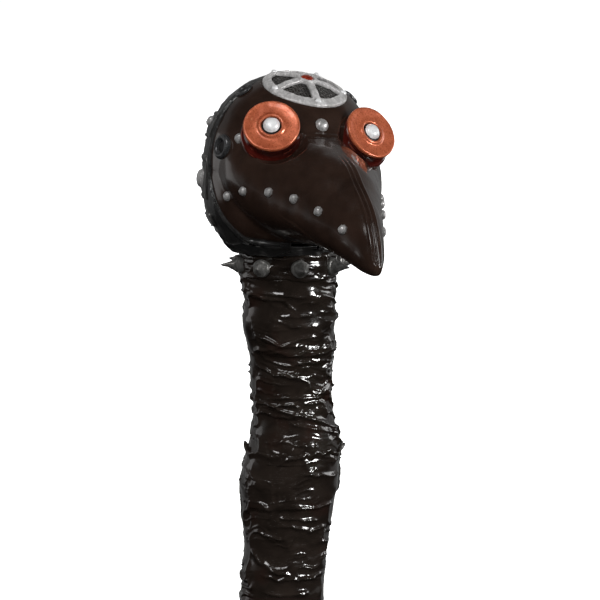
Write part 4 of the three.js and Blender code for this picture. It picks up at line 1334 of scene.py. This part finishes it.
# ---------------------------------------------------------------- carried-over CAD nodes
def finish_hidden_nodes():
    for node, key in (("head_form", "wood"), ("grip_core", "wood"), ("neck_dowel", "steel")):
        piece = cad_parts[node]
        if not piece.data.materials:
            piece.data.materials.append(None)
        for slot in piece.material_slots:
            slot.material = KIT[key]


# ---------------------------------------------------------------- camera, stage and lights
CAMERA_PLACE = (-0.4046, -1.0174, 0.2762)
CAMERA_TARGET = (0.00348, -0.00742, 0.12313)
CAMERA_LENS = 198.0


def build_camera():
    data = bpy.data.cameras.new("camera")
    data.lens = CAMERA_LENS
    data.sensor_width = 36.0
    data.clip_end = 50.0
    camera = bpy.data.objects.new("camera", data)
    camera.location = CAMERA_PLACE
    towards = Vector(CAMERA_TARGET) - Vector(CAMERA_PLACE)
    camera.rotation_euler = towards.to_track_quat("-Z", "Y").to_euler()
    bpy.context.scene.collection.objects.link(camera)
    bpy.context.scene.camera = camera


def build_floor():
    reach = 9.0
    mesh = bpy.data.meshes.new("floor")
    corners = [(-reach, -reach, 0), (reach, -reach, 0), (reach, reach, 0), (-reach, reach, 0)]
    mesh.from_pydata(corners, [], [(0, 1, 2, 3)])
    material, _, shader = new_material("pale_floor")
    shader.inputs["Base Color"].default_value = (0.8, 0.8, 0.8, 1)
    shader.inputs["Roughness"].default_value = 0.9
    shader.inputs["Emission Color"].default_value = (1, 1, 1, 1)
    shader.inputs["Emission Strength"].default_value = 1.0
    mesh.materials.append(material)
    floor = bpy.data.objects.new("floor", mesh)
    floor.location.z = -0.0002
    bpy.context.scene.collection.objects.link(floor)
    floor.visible_glossy = False
    floor.visible_diffuse = False


def add_softbox(name, azimuth, elevation, distance, width, height, power, mirrored=True):
    """An area light aimed at the head; the azimuth is measured from the camera, positive to its right."""
    data = bpy.data.lights.new(name, "AREA")
    data.shape = "RECTANGLE"
    data.size = width
    data.size_y = height
    data.energy = power
    a = math.radians(azimuth - 22)
    e = math.radians(elevation)
    aim = Vector((0, 0, 0.12))
    away = Vector((math.sin(a) * math.cos(e), -math.cos(a) * math.cos(e), math.sin(e)))
    lamp = bpy.data.objects.new(name, data)
    lamp.location = aim + away * distance
    lamp.rotation_euler = (-away).to_track_quat("-Z", "Y").to_euler()
    lamp.visible_glossy = mirrored
    bpy.context.scene.collection.objects.link(lamp)


def build_world():
    """White behind and beside the object, dark where the camera stands."""
    world = bpy.data.worlds.new("studio")
    world.use_nodes = True
    bpy.context.scene.world = world
    tree = world.node_tree
    tree.nodes.clear()
    source = tree.nodes.new("ShaderNodeTexCoord")
    dot = tree.nodes.new("ShaderNodeVectorMath")
    dot.operation = "DOT_PRODUCT"
    a = math.radians(-22)
    dot.inputs[1].default_value = (math.sin(a), -math.cos(a), 0)
    link(tree, source.outputs["Generated"], dot.inputs[0])
    split = tree.nodes.new("ShaderNodeSeparateXYZ")
    link(tree, source.outputs["Generated"], split.inputs[0])
    below = maths(tree, "MULTIPLY", split.outputs["Z"], -3.0)
    steep = maths(tree, "MAXIMUM", split.outputs["Z"], below)
    towards = maths(tree, "ADD", dot.outputs["Value"], steep)
    shade = ramp(tree, towards, [(0.0, (1, 1, 1)), (0.1, (0.3, 0.3, 0.31)), (0.3, (0.03, 0.03, 0.031)),
                                 (1.0, (0.01, 0.01, 0.0105))])
    wide = tree.nodes.new("ShaderNodeBackground")
    link(tree, shade, wide.inputs["Color"])
    wide.inputs["Strength"].default_value = 0.16
    plain = tree.nodes.new("ShaderNodeBackground")
    plain.inputs["Color"].default_value = (1, 1, 1, 1)
    rays = tree.nodes.new("ShaderNodeLightPath")
    choose = tree.nodes.new("ShaderNodeMixShader")
    link(tree, rays.outputs["Is Camera Ray"], choose.inputs[0])
    link(tree, wide.outputs[0], choose.inputs[1])
    link(tree, plain.outputs[0], choose.inputs[2])
    out = tree.nodes.new("ShaderNodeOutputWorld")
    link(tree, choose.outputs[0], out.inputs["Surface"])


def build_lights():
    add_softbox("key_right", 62, 14, 1.1, 0.14, 0.3, 8)
    add_softbox("side_right", 112, 14, 1.2, 0.5, 0.5, 2.6)
    add_softbox("side_left", -112, 4, 1.2, 0.5, 0.5, 0.45)
    add_softbox("top_front", -28, 50, 1.3, 0.6, 0.25, 4.2)
    add_softbox("fill_front", -14, 28, 2.2, 1.6, 1.2, 30, False)
    add_softbox("fill_low", -20, 2, 2.2, 1.2, 0.3, 7, False)
    add_softbox("fill_back", 180, 35, 2.2, 1.6, 1.2, 40, False)


build_camera()
build_floor()
build_world()
build_lights()
build_mask()
build_hood()
build_welts()
build_straps()
build_fasteners()
build_goggles()
build_wheel()
build_rivets()
build_crown_mesh()
build_jewel()
build_collar()
build_spikes()
build_wrap("grip_wrap_upper", 68.6, 130.8, 200, 0.7, 0.4)
build_wrap("grip_wrap_lower", 14.3, 72.4, 300, 1.3, 1.0)
build_ferrule()
finish_hidden_nodes()
bpy.context.scene.view_settings.view_transform = "Standard"
